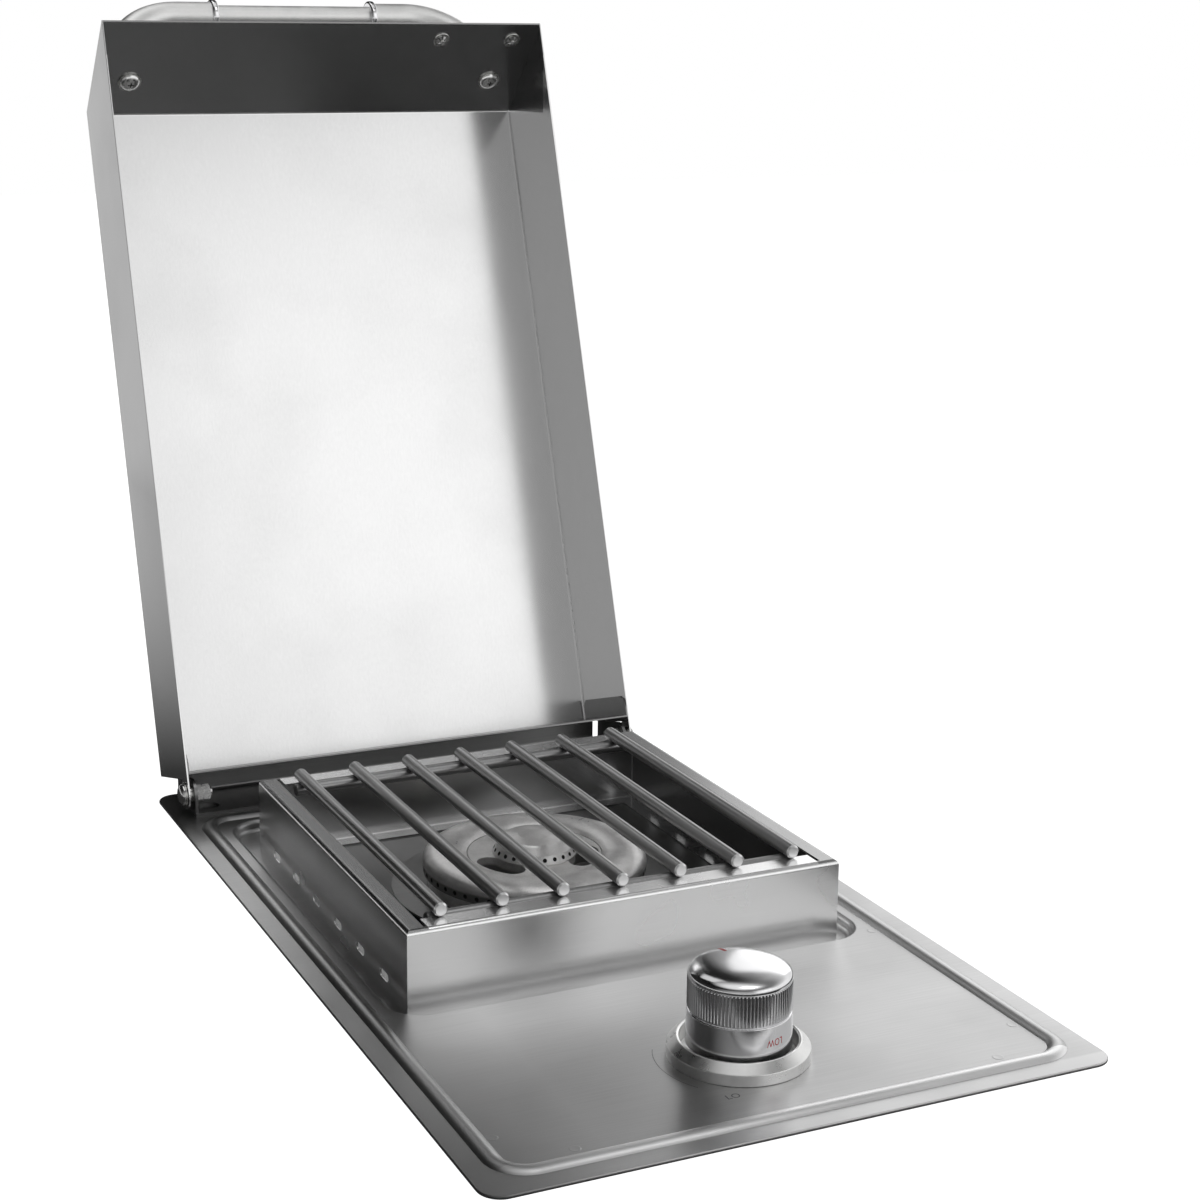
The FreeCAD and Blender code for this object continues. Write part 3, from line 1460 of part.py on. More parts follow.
def make_handle():
    base_y, base_z = on_slant(d.post_reach)
    bend, standoff = d.elbow_bend, d.handle_standoff
    ferrule_outer = d.ferrule_inner + d.ferrule_width

    elbow = new_body("handle_elbow_right")
    profile = new_sketch(elbow)
    circle(profile, d.post_x, 0, d.elbow_radius)
    path = new_sketch(elbow, "XZ_Plane")
    rise = segment(path, (d.post_x, 0), (d.post_x, standoff - bend))
    turn = arc(path, d.post_x - bend, standoff - bend, bend, 0, 90)
    run = segment(path, (d.post_x - bend, standoff), (ferrule_outer, standoff))
    path.addConstraint(Sketcher.Constraint("Tangent", rise, 2, turn, 1))
    path.addConstraint(Sketcher.Constraint("Tangent", turn, 2, run, 1))
    fix_point(path, rise, 1, d.post_x, 0)
    fix_point(path, rise, 2, d.post_x, standoff - bend)
    fix_point(path, turn, 2, d.post_x - bend, standoff)
    fix(path, "DistanceX", -1, 1, run, 2, value=ferrule_outer)
    sweep(elbow, "PartDesign::AdditivePipe", profile, path)
    thread = new_sketch(elbow)
    circle(thread, d.post_x, 0, d.handle_screw + d.screw_gap)
    pocket(elbow, thread, 14, reverse=True)

    lift = Placement(Vector(0, base_y.value, base_z.value), ON_SLANT)
    swing = Placement(Vector(0, d.hinge_y.value, d.hinge_z.value), LID_OPEN)
    elbow.Placement = swing.multiply(lift)

    mirror = doc.addObject("Part::Mirroring", "mirror")
    mirror.Source = elbow
    mirror.Normal = Vector(1, 0, 0)
    keep(mirror, "handle_elbow_left")

    grip = at(stage(d.grip_radius, -d.ferrule_inner, d.ferrule_inner), 0, 0, standoff, ALONG_X)
    bands = []
    for rotation in (ALONG_X, ALONG_MINUS_X):
        rounding = 1.0
        shape = [
            cone(d.ferrule_radius - rounding, d.ferrule_radius, d.ferrule_inner, d.ferrule_inner + rounding),
            stage(d.ferrule_radius, d.ferrule_inner + rounding, ferrule_outer - rounding),
            cone(d.ferrule_radius, d.ferrule_radius - rounding, ferrule_outer - rounding, ferrule_outer),
        ]
        bands.append(at(turned(shape), 0, 0, standoff, rotation))
    ferrules = group("handle_ferrules", bands)

    screws = []
    washers = []
    studs = []
    nuts = []
    t = d.sheet
    for side in (-1, 1):
        post = side * d.post_x
        shank = stage(d.handle_screw, -3 * t, d.handle_screw_length)
        head = cone(d.handle_screw_head - 3, d.handle_screw_head, -5.2 * t, -3.2 * t)
        flange = stage(d.handle_screw_head, -3.2 * t, -2 * t)
        screws.append(at(turned([shank, head, flange]), post, 0, 0))
        hole = stage(d.handle_screw + d.screw_gap, -3 * t, 0)
        washer = turned([stage(d.handle_washer, -2 * t, -t)], bore=hole)
        washers.append(at(washer, post, 0, 0))
    for x in (d.stud_inner_x, d.stud_outer_x):
        below = d.stud_reach - d.post_reach
        stud = turned([stage(d.stud, -5 * t, t / 2), stage(2 * d.stud, 0, 0.8 * t)])
        studs.append(at(stud, x, below, 0))
        cup = cone(d.push_nut_radius / 3, d.push_nut_radius / 1.5, -3 * t, -2 * t)
        hole = stage(d.stud + d.screw_gap, -4 * t, 0)
        nut = turned([stage(d.push_nut_radius, -2 * t, -t), cup], bore=hole)
        nuts.append(at(nut, x, below, 0))
    fittings = [
        group("handle_grip", [grip]),
        ferrules,
        group("handle_screws", screws),
        group("handle_washers", washers),
        group("badge_studs", studs),
        group("push_nuts", nuts),
    ]
    for item in fittings:
        item.Placement = elbow.Placement


make_deck()
make_service_box()
make_surround()
make_plate()
make_base()
make_ring_cap()
make_center_cap()
make_tube()
make_shutter()
make_electrode()
make_burner_screws()
make_grate()
make_bezel()
make_knob()
make_stem()
make_spring()
make_valve()
make_plug()
make_valve_fittings()
make_bracket()
make_bezel_screws()
make_hinge_bracket()
make_hinge_hardware()
make_lid_shell()
make_rear_wall()
make_handle()
doc.recompute()

# ---------------------------------------------------------------- checks and STEP files

for item in doc.Objects:
    if "Invalid" in item.State or "Error" in item.State:
        raise RuntimeError(f"{item.Name} ({item.Label}) failed: {item.State}")
os.makedirs("parts", exist_ok=True)
for label, item in parts:
    shape = item.Shape
    if shape.isNull() or not shape.isValid():
        raise RuntimeError(f"{label} has no valid shape")
    shape.exportStep(f"parts/{label}.step")
    box = shape.BoundBox
    print(f"{label:22s} solids {len(shape.Solids)} volume {shape.Volume:10.0f}")
    print(f"    x {box.XMin:7.1f} {box.XMax:7.1f}  y {box.YMin:7.1f} {box.YMax:7.1f}", end="")
    print(f"  z {box.ZMin:7.1f} {box.ZMax:7.1f}")
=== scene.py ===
"""The looks of a built in side burner: pressed deck, knob, grate, burner and open lid."""

import logging
import math
from dataclasses import dataclass
from enum import Enum
from functools import cache

import bmesh
import bpy
from mathutils import Matrix, Vector


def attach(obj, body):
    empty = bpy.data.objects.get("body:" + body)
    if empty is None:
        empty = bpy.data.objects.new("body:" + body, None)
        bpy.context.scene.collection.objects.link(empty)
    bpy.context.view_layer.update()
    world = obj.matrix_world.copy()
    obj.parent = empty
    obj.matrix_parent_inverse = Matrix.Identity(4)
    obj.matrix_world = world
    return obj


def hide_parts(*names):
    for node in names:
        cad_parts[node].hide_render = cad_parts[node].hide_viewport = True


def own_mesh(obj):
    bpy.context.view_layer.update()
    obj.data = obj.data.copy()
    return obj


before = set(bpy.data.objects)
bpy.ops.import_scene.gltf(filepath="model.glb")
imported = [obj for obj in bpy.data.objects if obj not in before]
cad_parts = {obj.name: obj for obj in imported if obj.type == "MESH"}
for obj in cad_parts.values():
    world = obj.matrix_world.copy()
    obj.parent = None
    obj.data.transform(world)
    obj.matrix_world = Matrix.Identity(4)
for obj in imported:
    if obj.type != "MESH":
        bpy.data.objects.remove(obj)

logging.basicConfig(level=logging.INFO, format="%(message)s")
log = logging.getLogger("side_burner")

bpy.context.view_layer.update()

# Sizes are millimetres, turned into metres at the mesh. The studio's are metres.
MM = 0.001
BEND_STEPS = 28
TUBE_SIDES = 48
# Edges over these many degrees stay sharp on turned pieces and on screws.
TURNED_EDGE = 40.0
SCREW_EDGE = 30.0
HINGE_Y, HINGE_Z = 247.3, 12.17
LID_TILT = 18.49
POST_X = 134.7
KNOB_Y = -204.6
BURNER_Y = 46.6
INK_LIFT = 0.04

Point = tuple[float, float, float]
Color = tuple[float, float, float, float]
Ramp = tuple[float, float, float, float]
Sides = tuple[float, float, float, float]
Profile = list[tuple[float, float]]
Outline = tuple[tuple[float, float], ...]
BMesh = bmesh.types.BMesh
Vertex = bmesh.types.BMVert
Ring = list[Vertex]
Mesh = bpy.types.Mesh
Object = bpy.types.Object
Material = bpy.types.Material
Tree = bpy.types.NodeTree
Node = bpy.types.Node
Socket = bpy.types.NodeSocket
Value = float | Point | Color | Socket


class Axis(Enum):
    """The way the grain of a sheet runs."""

    X = (1.0, 0.0, 0.0)
    Y = (0.0, 1.0, 0.0)
    Z = (0.0, 0.0, 1.0)


# ------------------------------------------------------------------ node helpers


@dataclass
class NodeBench:
    """A short way to add and link nodes in one tree."""

    tree: Tree
    column: int = 0

    def add(self, kind: str, feeds: dict[str | int, Value] | None = None, **settings: object) -> Node:
        """Adds a node.

        Args:
            kind: the node's type name.
            feeds: a socket to follow or a value to hold, for each input named.
            settings: properties to set on the node first.

        Returns:
            The new node.
        """
        node = self.tree.nodes.new(kind)
        node.location = (self.column * 190, 0)
        self.column += 1
        for name, value in settings.items():
            setattr(node, name, value)
        for key, value in (feeds or {}).items():
            if isinstance(value, Socket):
                self.tree.links.new(value, node.inputs[key])
            else:
                node.inputs[key].default_value = value
        return node

    def math(self, operation: str, first: Value, second: Value = 0.0) -> Socket:
        """The result of a Math node."""
        return self.add("ShaderNodeMath", {0: first, 1: second}, operation=operation).outputs[0]

    def vector(self, operation: str, first: Value, second: Value = (0.0, 0.0, 0.0)) -> Socket:
        """The result of a Vector Math node."""
        return self.add("ShaderNodeVectorMath", {0: first, 1: second}, operation=operation).outputs["Vector"]

    def split(self, vector: Socket) -> tuple[Socket, ...]:
        """The X, Y and Z of a vector."""
        return tuple(self.add("ShaderNodeSeparateXYZ", {0: vector}).outputs)

    def blend(self, first: Socket, second: Socket, share: float) -> Socket:
        """Two values added, the second by its share and the first by the rest."""
        rest = self.math("MULTIPLY", first, 1.0 - share)
        return self.math("ADD", rest, self.math("MULTIPLY", second, share))

    def spread(self, value: Socket, low: float, high: float, start: float = 0.3, end: float = 0.7) -> Socket:
        """Maps a value onto a range.

        Args:
            value: what is mapped.
            low: result at start and before it.
            high: result at end and past it.
            start: the value that gives low.
            end: the value that gives high.

        Returns:
            The mapped value.
        """
        feeds = {"Value": value, "From Min": start, "From Max": end, "To Min": low, "To Max": high}
        return self.add("ShaderNodeMapRange", feeds).outputs["Result"]

    def mix(self, factor: Socket, first: Value, second: Value) -> Socket:
        """Blends two colours by a factor from 0 to 1."""
        feeds = {"Factor": factor, "A": first, "B": second}
        return self.add("ShaderNodeMix", feeds, data_type="RGBA").outputs["Result"]

    def here(self) -> Socket:
        """The piece's own coordinates, in metres."""
        return self.add("ShaderNodeTexCoord").outputs["Object"]

    def mapped(self, scale: Point, turn: Point = (0.0, 0.0, 0.0)) -> Socket:
        """The piece's own coordinates, turned and stretched."""
        feeds = {"Vector": self.here(), "Rotation": turn, "Scale": scale}
        return self.add("ShaderNodeMapping", feeds).outputs["Vector"]

    def noise(self, scale: float, detail: float, rough: float = 0.5, vector: Socket | None = None) -> Socket:
        """Adds a noise texture.

        Args:
            scale: how many clouds go into a metre.
            detail: how many finer layers lie on them.
            rough: how strong each finer layer is.
            vector: where it is read, else at the piece's own coordinates.

        Returns:
            The noise's value.
        """
        feeds = {"Vector": vector or self.here(), "Scale": scale, "Detail": detail, "Roughness": rough}
        return self.add("ShaderNodeTexNoise", feeds).outputs["Fac"]

    def bump(self, height: Socket, distance: float, strength: float) -> Socket:
        """Turns a height into a normal; the distance is in metres."""
        feeds = {"Height": height, "Distance": distance, "Strength": strength}
        return self.add("ShaderNodeBump", feeds).outputs["Normal"]

    def principled(self, feeds: dict[str | int, Value]) -> Socket:
        """Adds the Principled shader."""
        return self.add("ShaderNodeBsdfPrincipled", feeds).outputs["BSDF"]


def grey(level: float, warmth: float = 0.0) -> Color:
    """A near neutral colour; warmth lifts red and lowers blue."""
    return (level * (1.0 + warmth), level, level * (1.0 - warmth), 1.0)


def scaled(color: Point, factor: float) -> Color:
    """A colour made darker or lighter, up to white."""
    return (*(min(part * factor, 1.0) for part in color), 1.0)


# ------------------------------------------------------------------ finishes


@dataclass(frozen=True)
class Coat:
    """A material whose look comes from its own nodes."""

    name: str

    def surface(self, bench: NodeBench) -> Socket:
        """Adds the nodes of the look.

        Args:
            bench: the material's bench.

        Returns:
            The shader's output.
        """
        raise NotImplementedError

    def build(self) -> Material:
        """Builds the node material.

        Returns:
            The new material.
        """
        material = bpy.data.materials.new(self.name)
        material.use_nodes = True
        material.node_tree.nodes.clear()
        bench = NodeBench(material.node_tree)
        bench.add("ShaderNodeOutputMaterial", {"Surface": self.surface(bench)})
        return material


@dataclass(frozen=True)
class PaintedLight:
    """A box of the part whose tone is painted light: darker for painted shade, lighter for a painted
    highlight.
    """

    low: Point
    high: Point
    tone: float
    fade: Point = (0.2, 0.2, 0.2)

    def over(self, bench: NodeBench, color: Socket) -> Socket:
        """Lays the box's painted tone on a sheet.

        Args:
            bench: the material's bench.
            color: the sheet's colour so far.

        Returns:
            The colour with the painted light in it.
        """
        middle = tuple((low + high) / 2 * MM for low, high in zip(self.low, self.high))
        half = tuple((high - low) / 2 * MM for low, high in zip(self.low, self.high))
        away = bench.vector("ABSOLUTE", bench.vector("SUBTRACT", bench.here(), middle))
        fade = tuple(width * MM for width in self.fade)
        x, y, z = bench.split(bench.vector("DIVIDE", bench.vector("SUBTRACT", away, half), fade))
        beyond = bench.math("MAXIMUM", bench.math("MAXIMUM", x, y), z)
        return bench.mix(bench.spread(beyond, 1.0, 0.0, -0.5, 0.5), color, grey(self.tone))


@dataclass(frozen=True)
class BrushedSteel(Coat):
    """Sheet steel with a fine straight grain, soft handling marks, and boxes of painted shade and painted
    highlight.
    """

    tone: float
    roughness: float
    grain: Axis
    contrast: float
    painted_lights: tuple[PaintedLight, ...] = ()
    tilt: float = 0.0
    along: float = 9.0
    across: float = 420.0
    noise_band: tuple[float, float] = (0.36, 0.64)

    def surface(self, bench: NodeBench) -> Socket:
        """Grain and clouds, then each box of painted shade and painted highlight.

        Args:
            bench: the material's bench.

        Returns:
            The shader's output.
        """
        turn = (math.radians(self.tilt), 0.0, 0.0)
        stretch = tuple(self.along if part else self.across for part in self.grain.value)
        fine = bench.noise(2.2, 2.0, 0.5, bench.mapped(stretch, turn))
        broad = bench.noise(1.0, 3.0, 0.55, bench.mapped((self.along,) * 3, turn))
        level = bench.spread(bench.blend(fine, broad, 0.4), 0.0, 1.0, *self.noise_band)
        light = min(self.tone * (1.0 + self.contrast), 1.0)
        color = bench.mix(level, grey(self.tone * (1.0 - self.contrast)), grey(light))
        # Painted shade and painted highlights, one box at a time.
        for painted_box in self.painted_lights:
            color = painted_box.over(bench, color)
        rough = bench.spread(broad, self.roughness - 0.03, self.roughness + 0.04, *self.noise_band)
        normal = bench.bump(fine, 0.000004, 0.5)
        return bench.principled({"Base Color": color, "Roughness": rough, "Normal": normal, "Metallic": 1.0})


@dataclass(frozen=True)
class CastMetal(Coat):
    """Cast, tumbled burner metal with a sandy skin and a band of painted shade at the level of the ring's
    ports, under its crest.
    """

    tone: float = 0.87
    roughness: float = 0.42
    warmth: float = 0.008
    band_shade: float = 0.34
    band_shade_low: tuple[float, float] = (8.3, 8.6)
    band_shade_high: tuple[float, float] = (13.6, 15.2)

    def surface(self, bench: NodeBench) -> Socket:
        """Sand and clouds, with a band of painted shade between two levels.

        Args:
            bench: the material's bench.

        Returns:
            The shader's output.
        """
        sand = bench.noise(1500.0, 3.0, 0.7)
        mixed = bench.blend(sand, bench.noise(55.0, 3.0, 0.6), 0.55)
        level = bench.spread(mixed, 0.0, 1.0, 0.38, 0.62)
        unshaded = bench.mix(level, grey(self.tone * 0.84, self.warmth), grey(self.tone * 1.14, self.warmth))
        height = bench.split(bench.mapped((1 / MM,) * 3))[2]
        # Painted shade: a darker band between two levels, under the ring's crest.
        above = bench.spread(height, 0.0, 1.0, *self.band_shade_low)
        below = bench.spread(height, 1.0, 0.0, *self.band_shade_high)
        color = bench.mix(bench.math("MULTIPLY", above, below), unshaded, grey(self.band_shade, self.warmth))
        rough = bench.spread(mixed, self.roughness - 0.06, self.roughness + 0.08)
        normal = bench.bump(sand, 0.00005, 0.7)
        return bench.principled({"Base Color": color, "Roughness": rough, "Normal": normal, "Metallic": 0.9})


@dataclass(frozen=True)
class PlatedMetal(Coat):
    """Polished or plated metal: chrome, zinc or machined brass."""

    color: Point
    roughness: float
    haze: float
    scale: float = 60.0
    metallic: float = 1.0

    def surface(self, bench: NodeBench) -> Socket:
        """A clouded colour and gloss.

        Args:
            bench: the material's bench.

        Returns:
            The shader's output.
        """
        cloud = bench.noise(self.scale, 4.0, 0.6)
        color = bench.mix(bench.spread(cloud, 0.0, 1.0), scaled(self.color, 0.93), scaled(self.color, 1.05))
        rough = bench.spread(cloud, self.roughness, self.roughness + self.haze)
        return bench.principled({"Base Color": color, "Roughness": rough, "Metallic": self.metallic})


@dataclass(frozen=True)
class Galvanised(Coat):
    """Zinc coated sheet with crystal spangle."""

    tone: float = 0.5

    def surface(self, bench: NodeBench) -> Socket:
        """Flakes that differ in tone and gloss.

        Args:
            bench: the material's bench.

        Returns:
            The shader's output.
        """
        cells = bench.add("ShaderNodeTexVoronoi", {"Vector": bench.here(), "Scale": 130.0})
        flake = bench.add("ShaderNodeSeparateColor", {"Color": cells.outputs["Color"]}).outputs["Red"]
        color = bench.mix(flake, grey(self.tone * 0.85), grey(self.tone * 1.15))
        rough = bench.spread(flake, 0.38, 0.55, 0.0, 1.0)
        return bench.principled({"Base Color": color, "Roughness": rough, "Metallic": 1.0})


@dataclass(frozen=True)
class MatteSkin(Coat):
    """A non-metal surface: ceramic, printed ink, or the painted shade of hollows."""

    color: Point
    roughness: float
    grain: float = 0.08

    def surface(self, bench: NodeBench) -> Socket:
        """A finely specked colour and gloss.

        Args:
            bench: the material's bench.

        Returns:
            The shader's output.
        """
        speck = bench.noise(400.0, 3.0, 0.6)
        ends = (scaled(self.color, 1.0 - self.grain), scaled(self.color, 1.0 + self.grain))
        color = bench.mix(bench.spread(speck, 0.0, 1.0), *ends)
        rough = bench.spread(speck, self.roughness - 0.05, min(self.roughness + 0.08, 1.0))
        return bench.principled({"Base Color": color, "Roughness": rough})


@dataclass(frozen=True)
class CounterTop(Coat):
    """A pale counter that the lens sees white apart from a soft shadow.

    In the metal it shows painted shade close to the burner and white further out.
    """

    far: Ramp = (0.03, 0.93, 0.38, 1.55)
    white: float = 1.6
    white_share: float = 0.7

    def surface(self, bench: NodeBench) -> Socket:
        """A flecked sheet under a glow that only the lens and the metal see.

        Args:
            bench: the material's bench.

        Returns:
            The shader's output.
        """
        fleck = bench.spread(bench.noise(90.0, 3.0), 0.0, 1.0)
        sheet = bench.principled({"Base Color": bench.mix(fleck, grey(0.78), grey(0.82)), "Roughness": 0.7})
        reach = bench.add("ShaderNodeVectorMath", {0: bench.here()}, operation="LENGTH").outputs["Value"]
        path = bench.add("ShaderNodeLightPath").outputs
        lens = path["Is Camera Ray"]
        metal = bench.math("MAXIMUM", path["Is Glossy Ray"], path["Is Transmission Ray"])
        white = bench.math("MULTIPLY", lens, self.white)
        # For the metal the glow is painted shade: dark close to the burner, white further out.
        strength = bench.math("MAXIMUM", white, bench.spread(reach, *self.far))
        glow = bench.add("ShaderNodeEmission", {"Strength": strength}).outputs[0]
        share = bench.math("MAXIMUM", metal, bench.math("MULTIPLY", lens, self.white_share))
        return bench.add("ShaderNodeMixShader", {0: share, 1: sheet, 2: glow}).outputs[0]


class Finish(Enum):
    """Every finish of the burner."""

    # The deck's boxes, in order: painted shade over the front left, painted highlights on the front rim strip
    # and the front bead, painted shade on the floor inside the burner box, and painted shade along the rear.
    DECK = BrushedSteel("deck_brushed_steel", 0.64, 0.36, Axis.X, 0.04, (
        PaintedLight((-260.0, -400.0, -20.0), (-136.0, 0.0, 20.0), 0.3, (70.0, 150.0, 0.2)),
        PaintedLight((-90.0, -300.0, -2.5), (260.0, -274.6, 0.5), 0.76, (90.0, 2.0, 0.2)),
        PaintedLight((-120.0, -275.0, 0.2), (260.0, -264.0, 9.0), 1.0, (90.0, 0.4, 0.3)),
        PaintedLight((-131.2, -84.1, -20.0), (131.2, 176.2, -4.0), 0.21),
        PaintedLight((-190.0, 205.0, -20.0), (190.0, 300.0, 20.0), 0.17, (50.0, 50.0, 50.0)),
    ))
    # The surround's boxes: painted shade on its inner faces, lighter on the rear inner wall and darker on the
    # right one, and painted shade on the left and right top hems.
    SURROUND = BrushedSteel("surround_brushed_steel", 0.99, 0.24, Axis.X, 0.03, (
        PaintedLight((-131.2, -84.1, -10.0), (131.2, 176.2, 39.2), 0.38),
        PaintedLight((-129.0, 174.4, -10.0), (129.0, 176.2, 39.2), 0.52),
        PaintedLight((129.4, -84.1, -10.0), (131.2, 176.2, 39.2), 0.22),
        PaintedLight((-132.0, -85.0, 39.7), (-118.8, 178.0, 50.0), 0.24),
        PaintedLight((118.8, -85.0, 39.7), (132.0, 178.0, 50.0), 0.45),
    ))
    # The lid's boxes: a painted highlight low on the left outer wall, painted shade higher up on it, and
    # painted shade on the slanted front.
    LID = BrushedSteel("lid_brushed_steel", 0.87, 0.22, Axis.Z, 0.02, (
        PaintedLight((-162.0, 200.0, -20.0), (-160.4, 480.0, 520.0), 1.0),
        PaintedLight((-162.0, 200.0, 137.0), (-160.4, 480.0, 700.0), 0.3, (0.2, 0.2, 125.0)),
        PaintedLight((-160.2, 395.0, 443.8), (160.2, 465.0, 515.0), 0.36),
    ), LID_TILT)
    # The bars' box: a painted highlight on their front tips.
    BARS = BrushedSteel("bar_steel", 0.4, 0.34, Axis.Y, 0.1, (
        PaintedLight((-120.0, -80.0, 40.0), (120.0, -72.5, 50.0), 0.9),
    ))
    # Plate, bracket and lid rear wall: a dark tone that is painted shade.
    SHADED_PLATE = BrushedSteel("plate_steel_painted_shade", 0.3, 0.36, Axis.X, 0.06)
    SHADED_BRACKET = BrushedSteel("bracket_steel_painted_shade", 0.3, 0.34, Axis.X, 0.06)
    CAST = CastMetal("burner_casting")
    CHROME = PlatedMetal("polished_chrome", (0.86, 0.86, 0.87), 0.13, 0.04)
    SATIN_CHROME = PlatedMetal("satin_chrome", (0.93, 0.93, 0.92), 0.26, 0.08, 120.0)
    SATIN_TUBE = PlatedMetal("satin_tube", (0.95, 0.95, 0.94), 0.42, 0.08, 90.0)
    ZINC = PlatedMetal("zinc_plate", (0.62, 0.62, 0.60), 0.22, 0.1, 300.0)
    BRIGHT_ZINC = PlatedMetal("bright_zinc", (0.8, 0.8, 0.79), 0.16, 0.06, 300.0)
    PALE_ZINC = PlatedMetal("pale_zinc", (0.93, 0.93, 0.92), 0.22, 0.08, 300.0, 0.25)
    BRASS = PlatedMetal("machined_brass", (0.72, 0.55, 0.28), 0.24, 0.1, 200.0)
    GALVANISED = Galvanised("galvanised_sheet")
    CERAMIC = MatteSkin("igniter_ceramic", (0.86, 0.85, 0.8), 0.25)
    # Dark discs and prisms of painted shade stand for port mouths and screw recesses.
    HOLLOW_SHADE = MatteSkin("painted_hollow_shade", (0.012, 0.011, 0.01), 0.8, 0.3)
    RED_INK = MatteSkin("red_mark", (0.55, 0.03, 0.03), 0.4, 0.12)
    GREY_INK = MatteSkin("grey_mark", (0.16, 0.16, 0.17), 0.5, 0.12)
    COUNTER = CounterTop("counter_white")


@cache
def paint(finish: Finish) -> Material:
    """The finish's material, built when it is first asked for."""
    return finish.value.build()


# ------------------------------------------------------------------ mesh helpers


def linked(name: str, data: bpy.types.ID) -> Object:
    """Puts new data into the scene as an object.

    Args:
        name: the object's name.
        data: its mesh, curve, camera or light.

    Returns:
        The new object.
    """
    piece = bpy.data.objects.new(name, data)
    bpy.context.collection.objects.link(piece)
    return piece


def coated(mesh: Mesh, finish: Finish) -> Mesh:
    """Puts one finish on the whole of a mesh.

    Args:
        mesh: the mesh.
        finish: its finish.

    Returns:
        The mesh.
    """
    mesh.materials.clear()
    mesh.materials.append(paint(finish))
    return mesh


def applied(piece: Object) -> Mesh:
    """Applies a piece's modifiers or its curve.

    Args:
        piece: the piece, which stays as it is.

    Returns:
        The plain mesh.
    """
    graph = bpy.context.evaluated_depsgraph_get()
    whole = piece.evaluated_get(graph)
    return bpy.data.meshes.new_from_object(whole, preserve_all_data_layers=True, depsgraph=graph)


def baked(piece: Object) -> Object:
    """Puts the plain mesh in a piece's place.

    Args:
        piece: a mesh with modifiers, or a curve.

    Returns:
        The piece, or a new one under its name if it was a curve.
    """
    mesh = applied(piece)
    if piece.type == "MESH":
        piece.modifiers.clear()
        piece.data = mesh
        return piece
    name = piece.name
    bpy.data.objects.remove(piece)
    return linked(name, mesh)


def smooth(piece: Object, angle: float = 32.0) -> Object:
    """Smooth shading that keeps edges crisp and flats flat.

    Args:
        piece: the piece.
        angle: edges over this many degrees stay sharp.

    Returns:
        The piece.
    """
    piece.data.shade_smooth()
    piece.data.set_sharp_from_angle(angle=math.radians(angle))
    weighted = piece.modifiers.new("flats", "WEIGHTED_NORMAL")
    weighted.keep_sharp = True
    weighted.weight = 90
    return baked(piece)


def vertex(bm: BMesh, x: float, y: float, z: float) -> Vertex:
    """Adds a vertex at a place in millimetres."""
    return bm.verts.new((x * MM, y * MM, z * MM))


def mesh_of(bm: BMesh, name: str) -> Mesh:
    """Writes a working mesh out and frees it.

    Args:
        bm: the working mesh.
        name: the mesh's name.

    Returns:
        The mesh.
    """
    mesh = bpy.data.meshes.new(name)
    bm.to_mesh(mesh)
    bm.free()
    return mesh


def piece_of(bm: BMesh, name: str, finish: Finish) -> Object:
    """Closes doubles, points faces outwards and makes a piece of a working mesh.

    Args:
        bm: the working mesh, which is freed.
        name: the piece's name.
        finish: its finish.

    Returns:
        The new piece.
    """
    bmesh.ops.remove_doubles(bm, verts=bm.verts, dist=1e-6)
    bmesh.ops.recalc_face_normals(bm, faces=bm.faces)
    return linked(name, coated(mesh_of(bm, name), finish))


def bridge(bm: BMesh, *rings: Ring) -> None:
    """Quads from each closed ring of vertices to the next.

    Args:
        bm: the working mesh.
        rings: rings with the same count of vertices.
    """
    for first, second in zip(rings, rings[1:]):
        for k in range(len(first)):
            after = (k + 1) % len(first)
            corners = list(dict.fromkeys([first[k], first[after], second[after], second[k]]))
            if len(corners) >= 3:
                bm.faces.new(corners)


def ring_of(bm: BMesh, radius: float, height: float, count: int, y: float = 0.0) -> Ring:
    """A level ring of vertices.

    Args:
        bm: the working mesh.
        radius: its radius; at nought the ring is one vertex, repeated.
        height: its level.
        count: how many vertices it has.
        y: its middle.

    Returns:
        The ring.
    """
    if radius < 1e-6:
        return [vertex(bm, 0.0, y, height)] * count
    turns = (2 * math.pi * k / count for k in range(count))
    return [vertex(bm, radius * math.cos(turn), y + radius * math.sin(turn), height) for turn in turns]


def lathe(name: str, profile: Profile, segments: int, finish: Finish) -> Object:
    """Turns a profile about +Z.

    Args:
        name: the piece's name.
        profile: (radius, height) pairs.
        segments: steps round the axis.
        finish: its finish.

    Returns:
        The new piece, on the Z axis.
    """
    bm = bmesh.new()
    bridge(bm, *(ring_of(bm, radius, height, segments) for radius, height in profile))
    return piece_of(bm, name, finish)


def strip(name: str, rows: list[list[Point]], finish: Finish) -> Object:
    """An open sheet of quads over rows of points.

    Args:
        name: the piece's name.
        rows: rows with the same count of points.
        finish: its finish.

    Returns:
        The new piece.
    """
    bm = bmesh.new()
    grid = [[vertex(bm, *point) for point in row] for row in rows]
    for first, second in zip(grid, grid[1:]):
        for k in range(len(first) - 1):
            bm.faces.new([first[k], first[k + 1], second[k + 1], second[k]])
    return piece_of(bm, name, finish)


def prism(name: str, outline: list[Point], rise: float, finish: Finish) -> Object:
    """A closed outline drawn up along Z.

    Args:
        name: the piece's name.
        outline: its corners in order.
        rise: how far it is drawn.
        finish: its finish.

    Returns:
        The new piece.
    """
    bm = bmesh.new()
    ends = [[vertex(bm, x, y, z + lift) for x, y, z in outline] for lift in (0.0, rise)]
    for end in ends:
        bm.faces.new(end)
    bridge(bm, *ends)
    return piece_of(bm, name, finish)


